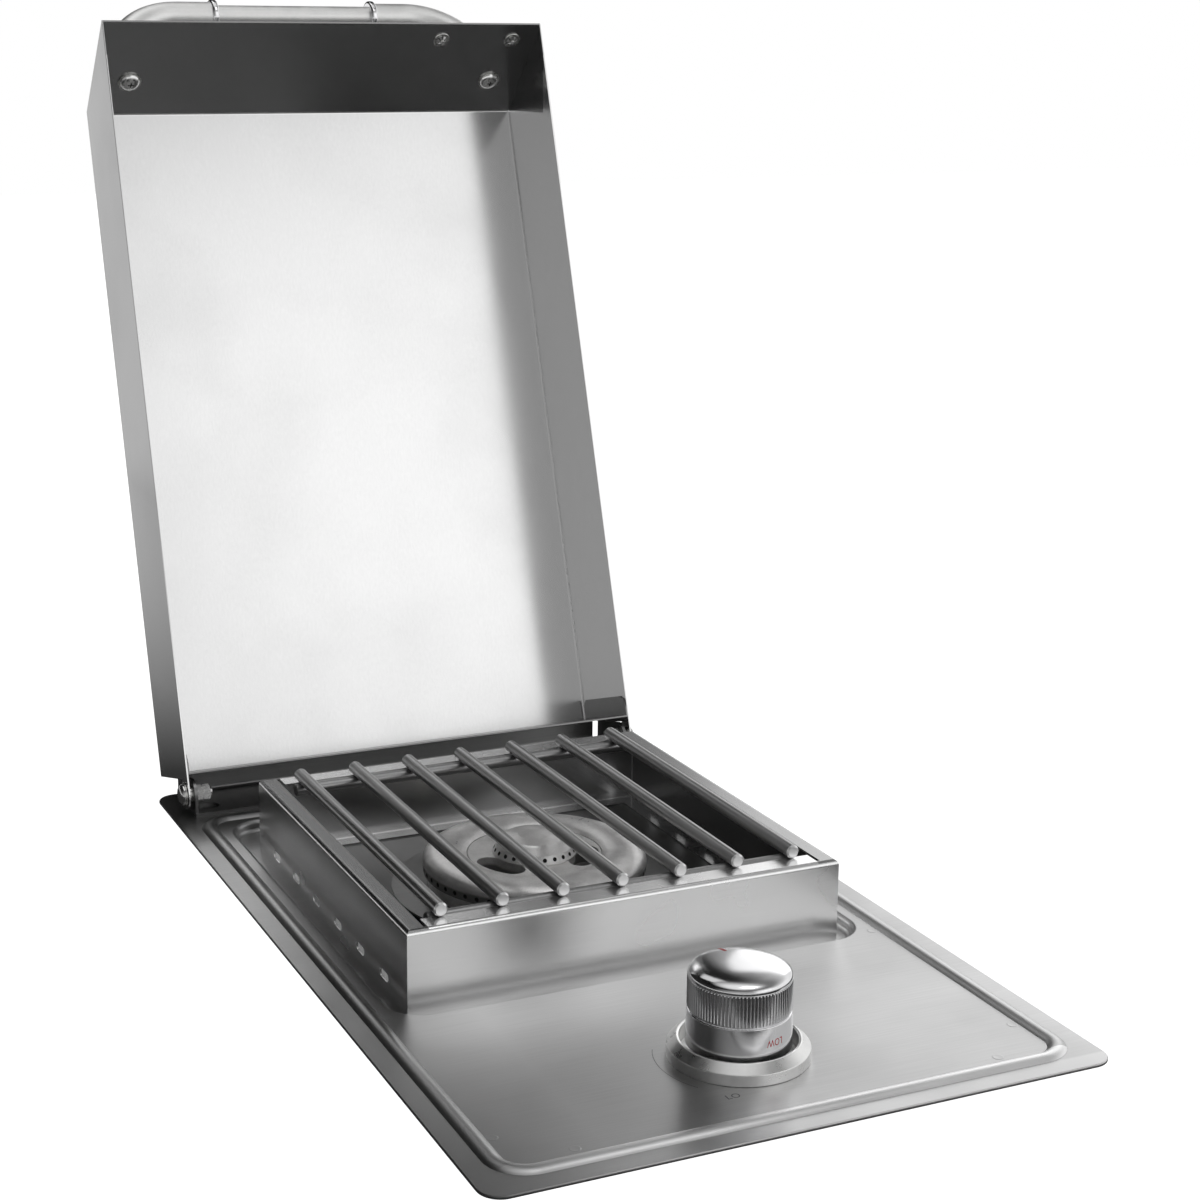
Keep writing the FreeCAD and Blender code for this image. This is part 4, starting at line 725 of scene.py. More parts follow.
def rounded(points: Profile | Outline, radius: float, steps: int = 5) -> Profile:
    """Rounds the inner corners of an open profile.

    Args:
        points: the profile's corners.
        radius: the rounding, cut down on short sides.
        steps: points on each rounding.

    Returns:
        The profile with arcs.
    """
    result: Profile = [points[0]]
    for before, corner, after in zip(points, points[1:], points[2:]):
        here = Vector(corner)
        back, ahead = Vector(before) - here, Vector(after) - here
        slope = max(math.tan(back.angle(ahead) / 2), 1e-3)
        reach = min(radius / slope, 0.45 * back.length, 0.45 * ahead.length)
        start, end = here + back.normalized() * reach, here + ahead.normalized() * reach
        for step in range(steps + 1):
            share = step / steps
            result.append(tuple(start.lerp(here, share).lerp(here.lerp(end, share), share)))
    return [*result, points[-1]]


def flowing(points: Profile | Outline, steps: int = 5) -> Profile:
    """A smooth profile through points.

    Args:
        points: the points it passes.
        steps: how many steps lie between two of them.

    Returns:
        The profile.
    """
    ends = [points[0], *points, points[-1]]
    result: Profile = []
    for four in zip(ends, ends[1:], ends[2:], ends[3:]):
        for step in range(steps):
            t = step / steps
            weights = (
                -0.5 * t + t**2 - 0.5 * t**3,
                1.0 - 2.5 * t**2 + 1.5 * t**3,
                0.5 * t + 2.0 * t**2 - 1.5 * t**3,
                -0.5 * t**2 + 0.5 * t**3,
            )
            result.append(tuple(sum(w * point[axis] for w, point in zip(weights, four)) for axis in (0, 1)))
    return [*result, points[-1]]


def moved(piece: Object, matrix: Matrix) -> Object:
    """Bakes a placement into a piece's mesh.

    Args:
        piece: the piece.
        matrix: the placement, in metres.

    Returns:
        The piece.
    """
    piece.data.transform(matrix)
    piece.data.update()
    return piece


def shifted(piece: Object, x: float, y: float, z: float) -> Object:
    """Moves a piece's mesh by millimetres."""
    return moved(piece, Matrix.Translation((x * MM, y * MM, z * MM)))


def sideways(side: int) -> Matrix:
    """The turn that lays +Z along X, to the right for 1 and to the left for -1."""
    return Matrix.Rotation(math.radians(90 * side), 4, "Y")


def joined(name: str, pieces: list[Object]) -> Object:
    """Joins pieces into one mesh, each keeping its finish.

    Args:
        name: the whole's name.
        pieces: the pieces, which go.

    Returns:
        The whole.
    """
    bm = bmesh.new()
    materials: list[Material] = []
    for piece in pieces:
        start = len(bm.faces)
        bm.from_mesh(piece.data)
        bm.faces.ensure_lookup_table()
        for face in bm.faces[start:]:
            face.material_index += len(materials)
        materials.extend(piece.data.materials)
    mesh = mesh_of(bm, name)
    for piece in pieces:
        bpy.data.objects.remove(piece)
    for material in materials:
        mesh.materials.append(material)
    return linked(name, mesh)


def seat(piece: Object, body: str, slot: str, *nodes: str) -> None:
    """Rides a piece on a body.

    Args:
        piece: the finished piece.
        body: the body it moves with.
        slot: the kind of material it is of; not used.
        nodes: the CAD nodes it stands for.
    """
    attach(piece, body)
    if nodes:
        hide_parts(*nodes)
    log.info("%s: %d faces on %s", piece.name, len(piece.data.polygons), body)


# ------------------------------------------------------------------ geometry nodes


def new_tree(name: str, sockets: dict[str, str]) -> tuple[NodeBench, Node]:
    """Starts a Geometry Nodes tree with the inputs Geometry and Material.

    Args:
        name: the tree's name.
        sockets: name and kind of its other inputs.

    Returns:
        A bench for the tree and its group input.
    """
    tree = bpy.data.node_groups.new(name, "GeometryNodeTree")
    for label, kind in {"Geometry": "Geometry", **sockets, "Material": "Material"}.items():
        tree.interface.new_socket(label, in_out="INPUT", socket_type=f"NodeSocket{kind}")
    tree.interface.new_socket("Geometry", in_out="OUTPUT", socket_type="NodeSocketGeometry")
    bench = NodeBench(tree)
    return bench, bench.add("NodeGroupInput")


def end_tree(bench: NodeBench, source: Node, geometry: Socket) -> Tree:
    """Realizes the copies, sets the finish and ends the tree.

    Args:
        bench: the tree's bench.
        source: its group input.
        geometry: what it has made.

    Returns:
        The tree.
    """
    real = bench.add("GeometryNodeRealizeInstances", {"Geometry": geometry}).outputs["Geometry"]
    feeds = {"Geometry": real, "Material": source.outputs["Material"]}
    dressed = bench.add("GeometryNodeSetMaterial", feeds).outputs["Geometry"]
    bench.add("NodeGroupOutput", {"Geometry": dressed})
    return bench.tree


@cache
def polar_tree() -> Tree:
    """Copies the mesh round +Z: inputs Count, Start and Material.

    Returns:
        The tree.
    """
    bench, source = new_tree("copies_round_axis", {"Count": "Int", "Start": "Float"})
    count = source.outputs["Count"]
    step = bench.math("DIVIDE", 2 * math.pi, count)
    index = bench.add("GeometryNodeInputIndex").outputs[0]
    angle = bench.math("ADD", bench.math("MULTIPLY", index, step), source.outputs["Start"])
    feeds = {
        "Points": bench.add("GeometryNodePoints", {"Count": count}).outputs[0],
        "Instance": source.outputs["Geometry"],
        "Rotation": bench.add("ShaderNodeCombineXYZ", {"Z": angle}).outputs[0],
    }
    copies = bench.add("GeometryNodeInstanceOnPoints", feeds)
    return end_tree(bench, source, copies.outputs["Instances"])


@cache
def row_tree() -> Tree:
    """Copies the mesh along a step: inputs Count, Step and Material.

    Returns:
        The tree.
    """
    bench, source = new_tree("copies_in_row", {"Count": "Int", "Step": "Vector"})
    feeds = {"Count": source.outputs["Count"], "Offset": source.outputs["Step"]}
    line = bench.add("GeometryNodeMeshLine", feeds, mode="OFFSET")
    feeds = {"Points": line.outputs["Mesh"], "Instance": source.outputs["Geometry"]}
    copies = bench.add("GeometryNodeInstanceOnPoints", feeds)
    return end_tree(bench, source, copies.outputs["Instances"])


@cache
def tube_tree() -> Tree:
    """A tube along a path with rounded bends: inputs Radius, Bend and Material.

    Returns:
        The tree.
    """
    bench, source = new_tree("tube_on_path", {"Radius": "Float", "Bend": "Float"})
    corners, bend = source.outputs["Geometry"], source.outputs["Bend"]
    feeds = {"Curve": corners, "Radius": bend, "Count": BEND_STEPS, "Limit Radius": True}
    path = bench.add("GeometryNodeFilletCurve", feeds, mode="POLY").outputs["Curve"]
    feeds = {"Resolution": TUBE_SIDES, "Radius": source.outputs["Radius"]}
    section = bench.add("GeometryNodeCurvePrimitiveCircle", feeds, mode="RADIUS").outputs["Curve"]
    feeds = {"Curve": path, "Profile Curve": section, "Fill Caps": True}
    return end_tree(bench, source, bench.add("GeometryNodeCurveToMesh", feeds).outputs["Mesh"])


def run_tree(piece: Object, tree: Tree, values: dict[str, object]) -> Object:
    """Runs a tree on a piece and keeps the plain mesh.

    Args:
        piece: a mesh or curve.
        tree: the Geometry Nodes tree.
        values: input name to value.

    Returns:
        The plain mesh piece.
    """
    modifier = piece.modifiers.new("nodes", "NODES")
    modifier.node_group = tree
    for item in tree.interface.items_tree:
        if item.item_type == "SOCKET" and item.in_out == "INPUT" and item.name in values:
            modifier[item.identifier] = values[item.name]
    return baked(piece)


def round_copies(piece: Object, count: int, finish: Finish, start: float = 0.0) -> Object:
    """Copies a piece round +Z."""
    return run_tree(piece, polar_tree(), {"Count": count, "Start": start, "Material": paint(finish)})


def row_copies(piece: Object, count: int, step: Point, finish: Finish) -> Object:
    """Copies a piece along a step."""
    return run_tree(piece, row_tree(), {"Count": count, "Step": Vector(step) * MM, "Material": paint(finish)})


def swept(name: str, path: list[Point], radius: float, bend: float, finish: Finish) -> Object:
    """A tube along a path.

    Args:
        name: the piece's name.
        path: corners of the path.
        radius: the tube's radius.
        bend: the centre line's bend radius.
        finish: its finish.

    Returns:
        The tube.
    """
    curve = bpy.data.curves.new(name, "CURVE")
    curve.dimensions = "3D"
    spline = curve.splines.new("POLY")
    spline.points.add(len(path) - 1)
    for point, place in zip(spline.points, path):
        point.co = (*(value * MM for value in place), 1.0)
    values = {"Radius": radius * MM, "Bend": bend * MM, "Material": paint(finish)}
    return smooth(run_tree(linked(name, curve), tube_tree(), values), TURNED_EDGE)


# ------------------------------------------------------------------ deck


@dataclass
class DeckPan:
    """The pressed deck: folded rim, drip bead, basin and weld marks."""

    half_width: float = 171.5
    half_depth: float = 285.75
    corner: float = 12.0
    corner_steps: int = 12
    sheet: float = 1.0
    hem: float = 8.0
    fold: Outline = (
        (0.35, -0.12), (0.1, -0.42), (0.0, -0.8), (0.0, -1.2), (0.1, -1.58), (0.35, -1.88), (0.8, -2.0),
    )
    bead_width: float = 10.1
    bead_height: float = 2.1
    bead_inset: float = 16.35
    bead_rear: float = 225.75
    bead_corner: float = 17.0
    bead_steps: int = 14
    basin_side: float = 141.5
    basin_front: float = -99.3
    basin_rear: float = 214.0
    basin_depth: float = 7.0
    basin_corner: float = 20.0
    basin_roll: float = 3.0
    roll_steps: int = 8
    hole: float = 30.0
    hole_steps: int = 48
    welds: Outline = (
        (-147.0, -234.9), (147.0, -231.3), (-147.0, -94.0), (147.0, -98.0), (-116.0, -259.2), (118.0, -259.2),
    )
    weld: Outline = ((3.0, 0.0), (2.7, 0.1), (2.2, 0.05), (0.0, 0.03))
    weld_steps: int = 20
    sharp: float = 24.0

    def loop(self, bm: BMesh, sides: Sides, corner: float, height: float) -> Ring:
        """A rounded rectangle of vertices.

        Args:
            bm: the working mesh.
            sides: left, right, front and rear.
            corner: corner radius.
            height: its level.

        Returns:
            The ring of vertices, in order.
        """
        left, right, front, rear = sides
        radius = max(corner, 0.2)
        centres = (
            (right - radius, front + radius, -90),
            (right - radius, rear - radius, 0),
            (left + radius, rear - radius, 90),
            (left + radius, front + radius, 180),
        )
        ring = []
        for x, y, start in centres:
            for step in range(self.corner_steps + 1):
                angle = math.radians(start + 90 * step / self.corner_steps)
                ring.append(vertex(bm, x + radius * math.cos(angle), y + radius * math.sin(angle), height))
        return ring

    def rim_loop(self, bm: BMesh, inset: float, height: float) -> Ring:
        """A ring set in from the rim."""
        width, depth = self.half_width - inset, self.half_depth - inset
        return self.loop(bm, (-width, width, -depth, depth), self.corner - inset, height)

    def bead_loop(self, bm: BMesh, inward: float, height: float) -> Ring:
        """A ring set in from the bead's crest line."""
        side, front = self.half_width - self.bead_inset - inward, -self.half_depth + self.bead_inset + inward
        return self.loop(bm, (-side, side, front, self.bead_rear - inward), self.bead_corner - inward, height)

    def basin_loop(self, bm: BMesh, outward: float, height: float) -> Ring:
        """A ring set out from the basin's wall."""
        side, front, rear = self.basin_side + outward, self.basin_front - outward, self.basin_rear + outward
        return self.loop(bm, (-side, side, front, rear), self.basin_corner + outward, height)

    def fill(self, bm: BMesh, *rings: Ring) -> None:
        """Fills the flat between closed rings.

        Args:
            bm: the working mesh.
            rings: the outer ring and the inner one.
        """
        edges = []
        for ring in rings:
            for pair in zip(ring, ring[1:] + ring[:1]):
                edges.append(bm.edges.get(pair) or bm.edges.new(pair))
        bmesh.ops.triangle_fill(bm, use_beauty=True, use_dissolve=False, edges=edges)

    def skin(self, bm: BMesh, depth: float) -> tuple[Ring, Ring]:
        """One face of the sheet, at a depth below its top face.

        Args:
            bm: the working mesh.
            depth: 0 for the top face, the sheet's thickness for the underside.

        Returns:
            The outermost and the innermost ring.
        """
        outer = self.rim_loop(bm, self.fold[-1][0] if depth == 0 else self.hem, -depth)
        radius = ((self.bead_width / 2) ** 2 + self.bead_height**2) / (2 * self.bead_height)
        centre, arch = self.bead_height - radius, radius - depth
        spread = math.acos((-depth - centre) / arch)
        arcs = []
        for step in range(self.bead_steps + 1):
            angle = spread * (2 * step / self.bead_steps - 1)
            arcs.append(self.bead_loop(bm, arch * math.sin(angle), centre + arch * math.cos(angle)))
        self.fill(bm, outer, arcs[0])
        bridge(bm, *arcs)
        roll, floor = self.basin_roll, -self.basin_depth
        top, low = roll - depth, roll + depth
        turns = [math.radians(90 * step / self.roll_steps) for step in range(self.roll_steps + 1)]
        bends = [(roll - top * math.sin(turn), -roll + top * math.cos(turn)) for turn in turns]
        bends += [(-roll + low * math.cos(turn), floor + roll - low * math.sin(turn)) for turn in turns]
        rings = [self.basin_loop(bm, outward, height) for outward, height in bends]
        self.fill(bm, arcs[-1], rings[0])
        bridge(bm, *rings)
        hole = ring_of(bm, self.hole, floor - depth, self.hole_steps, BURNER_Y)
        self.fill(bm, rings[-1], hole)
        return outer, hole

    def build(self) -> None:
        """Builds the deck and its weld marks."""
        bm = bmesh.new()
        top_outer, top_hole = self.skin(bm, 0.0)
        under_outer, under_hole = self.skin(bm, self.sheet)
        bridge(bm, top_hole, under_hole)
        fold = (*self.fold, (self.hem, self.fold[-1][1]))
        edge = [self.rim_loop(bm, inset, height) for inset, height in fold]
        bridge(bm, top_outer, *edge, under_outer)
        pan = smooth(piece_of(bm, "deck", Finish.DECK), self.sharp)
        seat(pan, "deck", "deck_steel", "deck_pan")
        marks = []
        for x, y in self.welds:
            marks.append(shifted(lathe("weld", self.weld, self.weld_steps, Finish.DECK), x, y, 0.0))
        seat(smooth(joined("deck_weld_marks", marks)), "deck", "deck_steel")


# ------------------------------------------------------------------ knob


@dataclass
class Knob:
    """The control knob, its bezel and the printed marks."""

    y: float = KNOB_Y
    bezel: Outline = (
        (9.0, 0.02), (36.6, 0.02), (36.35, 6.0), (31.5, 10.2),
        (30.0, 10.0), (30.0, 1.5), (9.0, 1.5), (9.0, 0.02),
    )
    skirt: Outline = (
        (5.2, 12.0), (9.0, 12.0), (9.0, 40.0), (24.0, 40.0),
        (24.0, 7.0), (27.0, 7.0), (26.5, 24.9), (26.2, 25.3),
    )
    socket: Outline = ((0.0, 34.0), (5.2, 34.0), (5.2, 12.0))
    segments: int = 128
    bezel_round: float = 0.7
    skirt_round: float = 0.6
    skirt_round_steps: int = 3
    band_radius: float = 26.0
    knurl_low: float = 26.2
    knurl_high: float = 42.4
    knurl_run: float = 0.8
    ridges: int = 90
    ridge: float = 0.5
    ridge_half: float = 0.62
    ridge_foot: float = -0.2
    shoulder: tuple[float, float] = (0.55, 0.8)
    ridge_sharp: float = 60.0
    crown_radius: float = 26.4
    crown_foot: float = 43.2
    crown_rise: float = 6.8
    crown_power: float = 2.6
    crown_steps: int = 28
    pointer_half: float = 0.9
    pointer_lift: float = 0.05
    pointer_reach: tuple[float, ...] = (15.5, 17.0, 18.5, 20.0, 21.5, 23.0)
    word_size: float = 3.9
    word_squeeze: float = 0.82
    word_radius: float = 27.02
    word_turn: float = -77.5
    word_level: float = 17.0
    taper: float = 0.5
    taper_foot: float = 7.0
    taper_run: float = 18.7
    arc_reach: tuple[float, float] = (43.0, 43.28)
    arc_start: int = 150
    arc_end: int = 214
    mark_size: float = 4.5
    mark_place: tuple[float, float] = (-24.5, -243.5)

    def crown_height(self, radius: float) -> float:
        """The domed top's level at a distance from the axis."""
        share = min(radius / self.crown_radius, 1.0)
        return self.crown_foot + self.crown_rise * (1.0 - share**self.crown_power) ** (1.0 / self.crown_power)

    def crown(self) -> Profile:
        """The domed top.

        Returns:
            Its profile, from its foot to the axis.
        """
        points = []
        for step in range(self.crown_steps + 1):
            angle = math.pi / 2 * step / self.crown_steps
            radius = self.crown_radius * math.cos(angle) ** (2.0 / self.crown_power)
            rise = self.crown_rise * math.sin(angle) ** (2.0 / self.crown_power)
            points.append((radius if step < self.crown_steps else 0.0, self.crown_foot + rise))
        return points

    def knurl(self) -> Object:
        """The ridges round the band.

        Returns:
            The knurl.
        """
        half, low, high, run = self.ridge_half, self.knurl_low, self.knurl_high, self.knurl_run
        foot, wide, tall = self.ridge_foot, half * self.shoulder[0], self.ridge * self.shoulder[1]
        section = ((-half, foot), (-wide, tall), (0.0, self.ridge), (wide, tall), (half, foot))
        ends = ((low, 0.0), (low + run, 1.0), (high - run, 1.0), (high, 0.0))
        rows = [[(self.band_radius + out * share, across, z) for across, out in section] for z, share in ends]
        rib = strip("knob_knurl", rows, Finish.CHROME)
        return smooth(round_copies(rib, self.ridges, Finish.CHROME), self.ridge_sharp)

    def build(self) -> None:
        """Builds bezel, knob and marks."""
        profile = rounded(self.bezel, self.bezel_round)
        bezel = smooth(lathe("knob_bezel_ring", profile, self.segments, Finish.SATIN_CHROME))
        seat(shifted(bezel, 0, self.y, 0), "deck", "chrome", "knob_bezel")
        radius = self.band_radius
        band = [(radius - 0.4, 25.5), (radius, 25.9), (radius, 42.6), (radius - 0.2, 43.0)]
        lower = [*self.skirt, *band, (self.crown_radius, 43.1)]
        lower = rounded(lower, self.skirt_round, self.skirt_round_steps)
        profile = [*lower, *self.crown(), *self.socket]
        body = smooth(lathe("knob_body", profile, self.segments, Finish.CHROME), TURNED_EDGE)
        whole = joined("knob_turned", [body, self.knurl()])
        seat(shifted(whole, 0, self.y, 0), "knob", "chrome", "control_knob")
        self.knob_marks()
        self.dial_marks()

    def knob_marks(self) -> None:
        """Prints the pointer on the crown and the word on the skirt."""
        half = self.pointer_half
        rows = [
            [(x, reach, self.crown_height(reach) + self.pointer_lift) for x in (-half, half)]
            for reach in self.pointer_reach
        ]
        pointer = strip("knob_pointer", rows, Finish.RED_INK)
        seat(shifted(pointer, 0, self.y, 0), "knob", "chrome")
        word = self.lettering("LOW", self.word_size)
        radius = self.word_radius * MM
        for spot in word.vertices:
            turn = math.radians(self.word_turn) - self.word_squeeze * spot.co.x / radius
            level = self.word_level * MM - spot.co.y
            skin = radius - self.taper * MM * max(level / MM - self.taper_foot, 0.0) / self.taper_run
            spot.co = (skin * math.cos(turn), skin * math.sin(turn), level)
        label = linked("knob_low_word", coated(word, Finish.RED_INK))
        seat(shifted(label, 0, self.y, 0), "knob", "chrome")

    def dial_marks(self) -> None:
        """Prints the arc and the small mark beside the knob."""
        turns = [math.radians(turn) for turn in range(self.arc_start, self.arc_end + 1, 2)]
        rows = [
            [(reach * math.cos(turn), self.y + reach * math.sin(turn), INK_LIFT) for reach in self.arc_reach]
            for turn in turns
        ]
        seat(strip("dial_arc", rows, Finish.GREY_INK), "deck", "deck_steel")
        small = linked("dial_low_mark", coated(self.lettering("LO", self.mark_size), Finish.GREY_INK))
        seat(shifted(small, *self.mark_place, INK_LIFT), "deck", "deck_steel")

    def lettering(self, text: str, size: float) -> Mesh:
        """Flat letters, centred on the origin.

        Args:
            text: the letters.
            size: their height.

        Returns:
            The mesh.
        """
        curve = bpy.data.curves.new(text, "FONT")
        curve.body = text
        curve.size = size * MM * 1.35
        curve.align_x = "CENTER"
        curve.align_y = "CENTER"
        curve.resolution_u = 3
        holder = linked(text, curve)
        mesh = applied(holder)
        bpy.data.objects.remove(holder)
        return mesh


# ------------------------------------------------------------------ burner


@dataclass(frozen=True)
class Ports:
    """Port mouths as thin discs of painted shade, lying round the wall of a cap."""

    count: int
    radius: float
    height: float
    mouth: float
    slope_degrees: float
    start_radians: float
    sides: int = 14

    def build(self) -> Object:
        """Builds the ring of mouths."""
        # Each mouth is a thin dark disc of painted shade, not a hole.
        profile = [(self.mouth, 0.0), (self.mouth * 0.9, 0.02), (0.0, 0.02)]
        lean = Matrix.Rotation(math.radians(90 - self.slope_degrees), 4, "Y")
        place = Matrix.Translation((self.radius * MM, 0, self.height * MM)) @ lean
        mouth = moved(lathe("port", profile, self.sides, Finish.HOLLOW_SHADE), place)
        return round_copies(mouth, self.count, Finish.HOLLOW_SHADE, self.start_radians)


@dataclass
class Burner:
    """Ring cap, centre cap and their ports."""

    y: float = BURNER_Y
    ring_ports: Ports = Ports(52, 67.34, 12.0, 1.4, -6.1, 0.03)
    cap_ports: Ports = Ports(24, 24.3, 22.4, 1.3, 25.5, 0.1)
    ring_steps: int = 160
    cap_steps: int = 96
    skirt: Outline = ((62.5, 9.0), (66.95, 9.0))
    crest: Outline = (
        (67.4, 13.2), (67.5, 15.2), (66.9, 17.6), (65.0, 19.8), (61.5, 21.5),
        (57.0, 22.35), (52.5, 22.5), (48.0, 22.0), (44.0, 20.9), (40.8, 19.2),
    )
    inside: Outline = (
        (40.75, 12.0), (43.7, 12.0), (44.1, 17.5), (51.0, 19.4), (57.0, 19.0), (62.5, 15.0), (62.5, 9.0),
    )
    cap: Outline = (
        (22.9, 19.0), (25.35, 19.0), (25.35, 20.1), (23.2, 24.6),
        (19.3, 28.7), (18.0, 29.7), (10.0, 30.8), (0.0, 31.15),
    )
    line: Outline = ((52.5, 22.52), (55.0, 22.48), (58.0, 22.27), (60.5, 21.8))
    line_turn: float = 34.6
    line_half: float = 0.2
    dot: Outline = ((0.45, 0.0), (0.4, 0.05), (0.0, 0.05))
    dot_steps: int = 12
    # Radius, turn in degrees and level of each dot.
    dots: tuple[Point, ...] = (
        (54.5, 40.5, 22.5), (55.0, 28.5, 22.5), (47.5, 146.5, 22.12),
        (49.5, 146.5, 22.12), (47.5, 149.5, 22.12), (49.5, 149.5, 22.12),
    )
    cap_round: float = 0.8
    cap_round_steps: int = 4

    def gauge_marks(self) -> Object:
        """The casting's scribed line and pin dots on top of the ring.

        Returns:
            The marks.
        """
        turn, half = math.radians(self.line_turn), self.line_half
        cos, sin = math.cos(turn), math.sin(turn)
        rows = [
            [(radius * cos - x * sin, radius * sin + x * cos, height + INK_LIFT) for x in (-half, half)]
            for radius, height in self.line
        ]
        marks = [strip("scribed_line", rows, Finish.GREY_INK)]
        for radius, degrees, level in self.dots:
            angle = math.radians(degrees)
            dot = lathe("dot", self.dot, self.dot_steps, Finish.GREY_INK)
            marks.append(shifted(dot, radius * math.cos(angle), radius * math.sin(angle), level))
        return joined("gauge_marks", marks)

    def build(self) -> None:
        """Builds both caps with their ports."""
        profile = [*self.skirt, *flowing(self.crest), *self.inside]
        ring = smooth(lathe("ring_cap_skin", profile, self.ring_steps, Finish.CAST), TURNED_EDGE)
        whole = joined("ring_cap", [ring, self.ring_ports.build(), self.gauge_marks()])
        seat(shifted(whole, 0, self.y, 0), "ring_cap", "burner_cast", "burner_ring_cap")
        profile = rounded(self.cap, self.cap_round, self.cap_round_steps)
        cap = smooth(lathe("cap_skin", profile, self.cap_steps, Finish.CAST), TURNED_EDGE)
        whole = joined("center_cap", [cap, self.cap_ports.build()])
        seat(shifted(whole, 0, self.y, 0), "center_cap", "burner_cast", "burner_center_cap")


# ------------------------------------------------------------------ grate


@dataclass
class Grate:
    """Seven bars on two cross rods."""

    y: float = 46.55
    z: float = 44.8
    bars: int = 7
    radius: float = 4.0
    length: float = 240.0
    pitch: float = 36.0
    bevel: float = 1.0
    rod_radius: float = 3.75
    rod_length: float = 228.0
    rod_spread: float = 224.0
    rod_sink: float = 7.2
    rod_bevel: float = 0.6
    steps: int = 40

    def rod(self, name: str, radius: float, length: float, bevel: float, axis: str) -> Object:
        """A round bar with bevelled ends.

        Args:
            name: the piece's name.
            radius: its radius.
            length: its length.
            bevel: the bevel at each end.
            axis: the axis that it is turned about to lie down.

        Returns:
            The bar, its middle at the origin.
        """
        half = length / 2
        profile = [(0.0, -half), (radius - bevel, -half), (radius, bevel - half)]
        profile += [(radius, half - bevel), (radius - bevel, half), (0.0, half)]
        turn = Matrix.Rotation(math.radians(90), 4, axis)
        return moved(lathe(name, profile, self.steps, Finish.BARS), turn)

    def build(self) -> None:
        """Builds the grate."""
        bar = self.rod("bar", self.radius, self.length, self.bevel, "X")
        bar = shifted(bar, (1 - self.bars) / 2 * self.pitch, 0, 0)
        bars = row_copies(bar, self.bars, (self.pitch, 0, 0), Finish.BARS)
        cross = self.rod("cross", self.rod_radius, self.rod_length, self.rod_bevel, "Y")
        cross = shifted(cross, 0, -self.rod_spread / 2, -self.rod_sink)
        rods = row_copies(cross, 2, (0, self.rod_spread, 0), Finish.BARS)
        whole = shifted(smooth(joined("grate_bars", [bars, rods])), 0, self.y, self.z)
        seat(whole, "grate", "bar_steel", "pan_grate")


# ------------------------------------------------------------------ lid


@dataclass
class Lid:
    """The handle on the slanted front of the lid."""

    front: float = -518.85
    rim: float = -9.81
    slant_top: float = -476.1
    panel: float = 64.51
    post_reach: float = 54.0
    standoff: float = 66.0
    bend: float = 48.0
    elbow_radius: float = 10.48
    elbow_end: float = 62.4
    grip_radius: float = 8.2
    grip_half: float = 58.0
    post_foot: float = 0.05
    band: Outline = ((0.0, 0.0), (12.2, 0.0), (12.2, 4.5), (0.0, 4.5))
    band_round: float = 1.6
    band_steps: int = 72

    def slant_place(self) -> Matrix:
        """Where the posts' foot frame, with Z out of the slanted front, goes.

        Returns:
            The placement on the open lid.
        """
        run, rise = self.slant_top - self.front, self.panel - self.rim
        share = self.post_reach / math.hypot(run, rise)
        foot = Vector((0.0, self.front + share * run, self.rim + share * rise))
        opened = Matrix.Translation(Vector((0.0, HINGE_Y, HINGE_Z)) * MM)
        swing = Matrix.Rotation(math.radians(-90 - LID_TILT), 4, "X")
        return opened @ swing @ Matrix.Translation(foot * MM) @ Matrix.Rotation(math.atan2(rise, run), 4, "X")

    def build(self) -> None:
        """Builds the handle."""
        place, out = self.slant_place(), self.standoff
        bands = []
        for side, label in ((-1, "left"), (1, "right")):
            x = side * POST_X
            path = [(x, 0.0, self.post_foot), (x, 0.0, out), (side * self.elbow_end, 0.0, out)]
            elbow = swept(f"handle_bend_{label}", path, self.elbow_radius, self.bend, Finish.SATIN_TUBE)
            seat(moved(elbow, place), "lid", "lid_steel", f"handle_elbow_{label}")
            profile = rounded(self.band, self.band_round)
            band = moved(lathe("band", profile, self.band_steps, Finish.CHROME), sideways(side))
            bands.append(shifted(band, side * self.grip_half, 0, out))
        ends = [(-self.grip_half, 0.0, out), (self.grip_half, 0.0, out)]
        grip = swept("handle_bar", ends, self.grip_radius, 0.0, Finish.SATIN_TUBE)
        seat(moved(grip, place), "lid", "lid_steel", "handle_grip")
        seat(moved(smooth(joined("handle_bands", bands)), place), "lid", "chrome", "handle_ferrules")


# ------------------------------------------------------------------ fasteners and spring


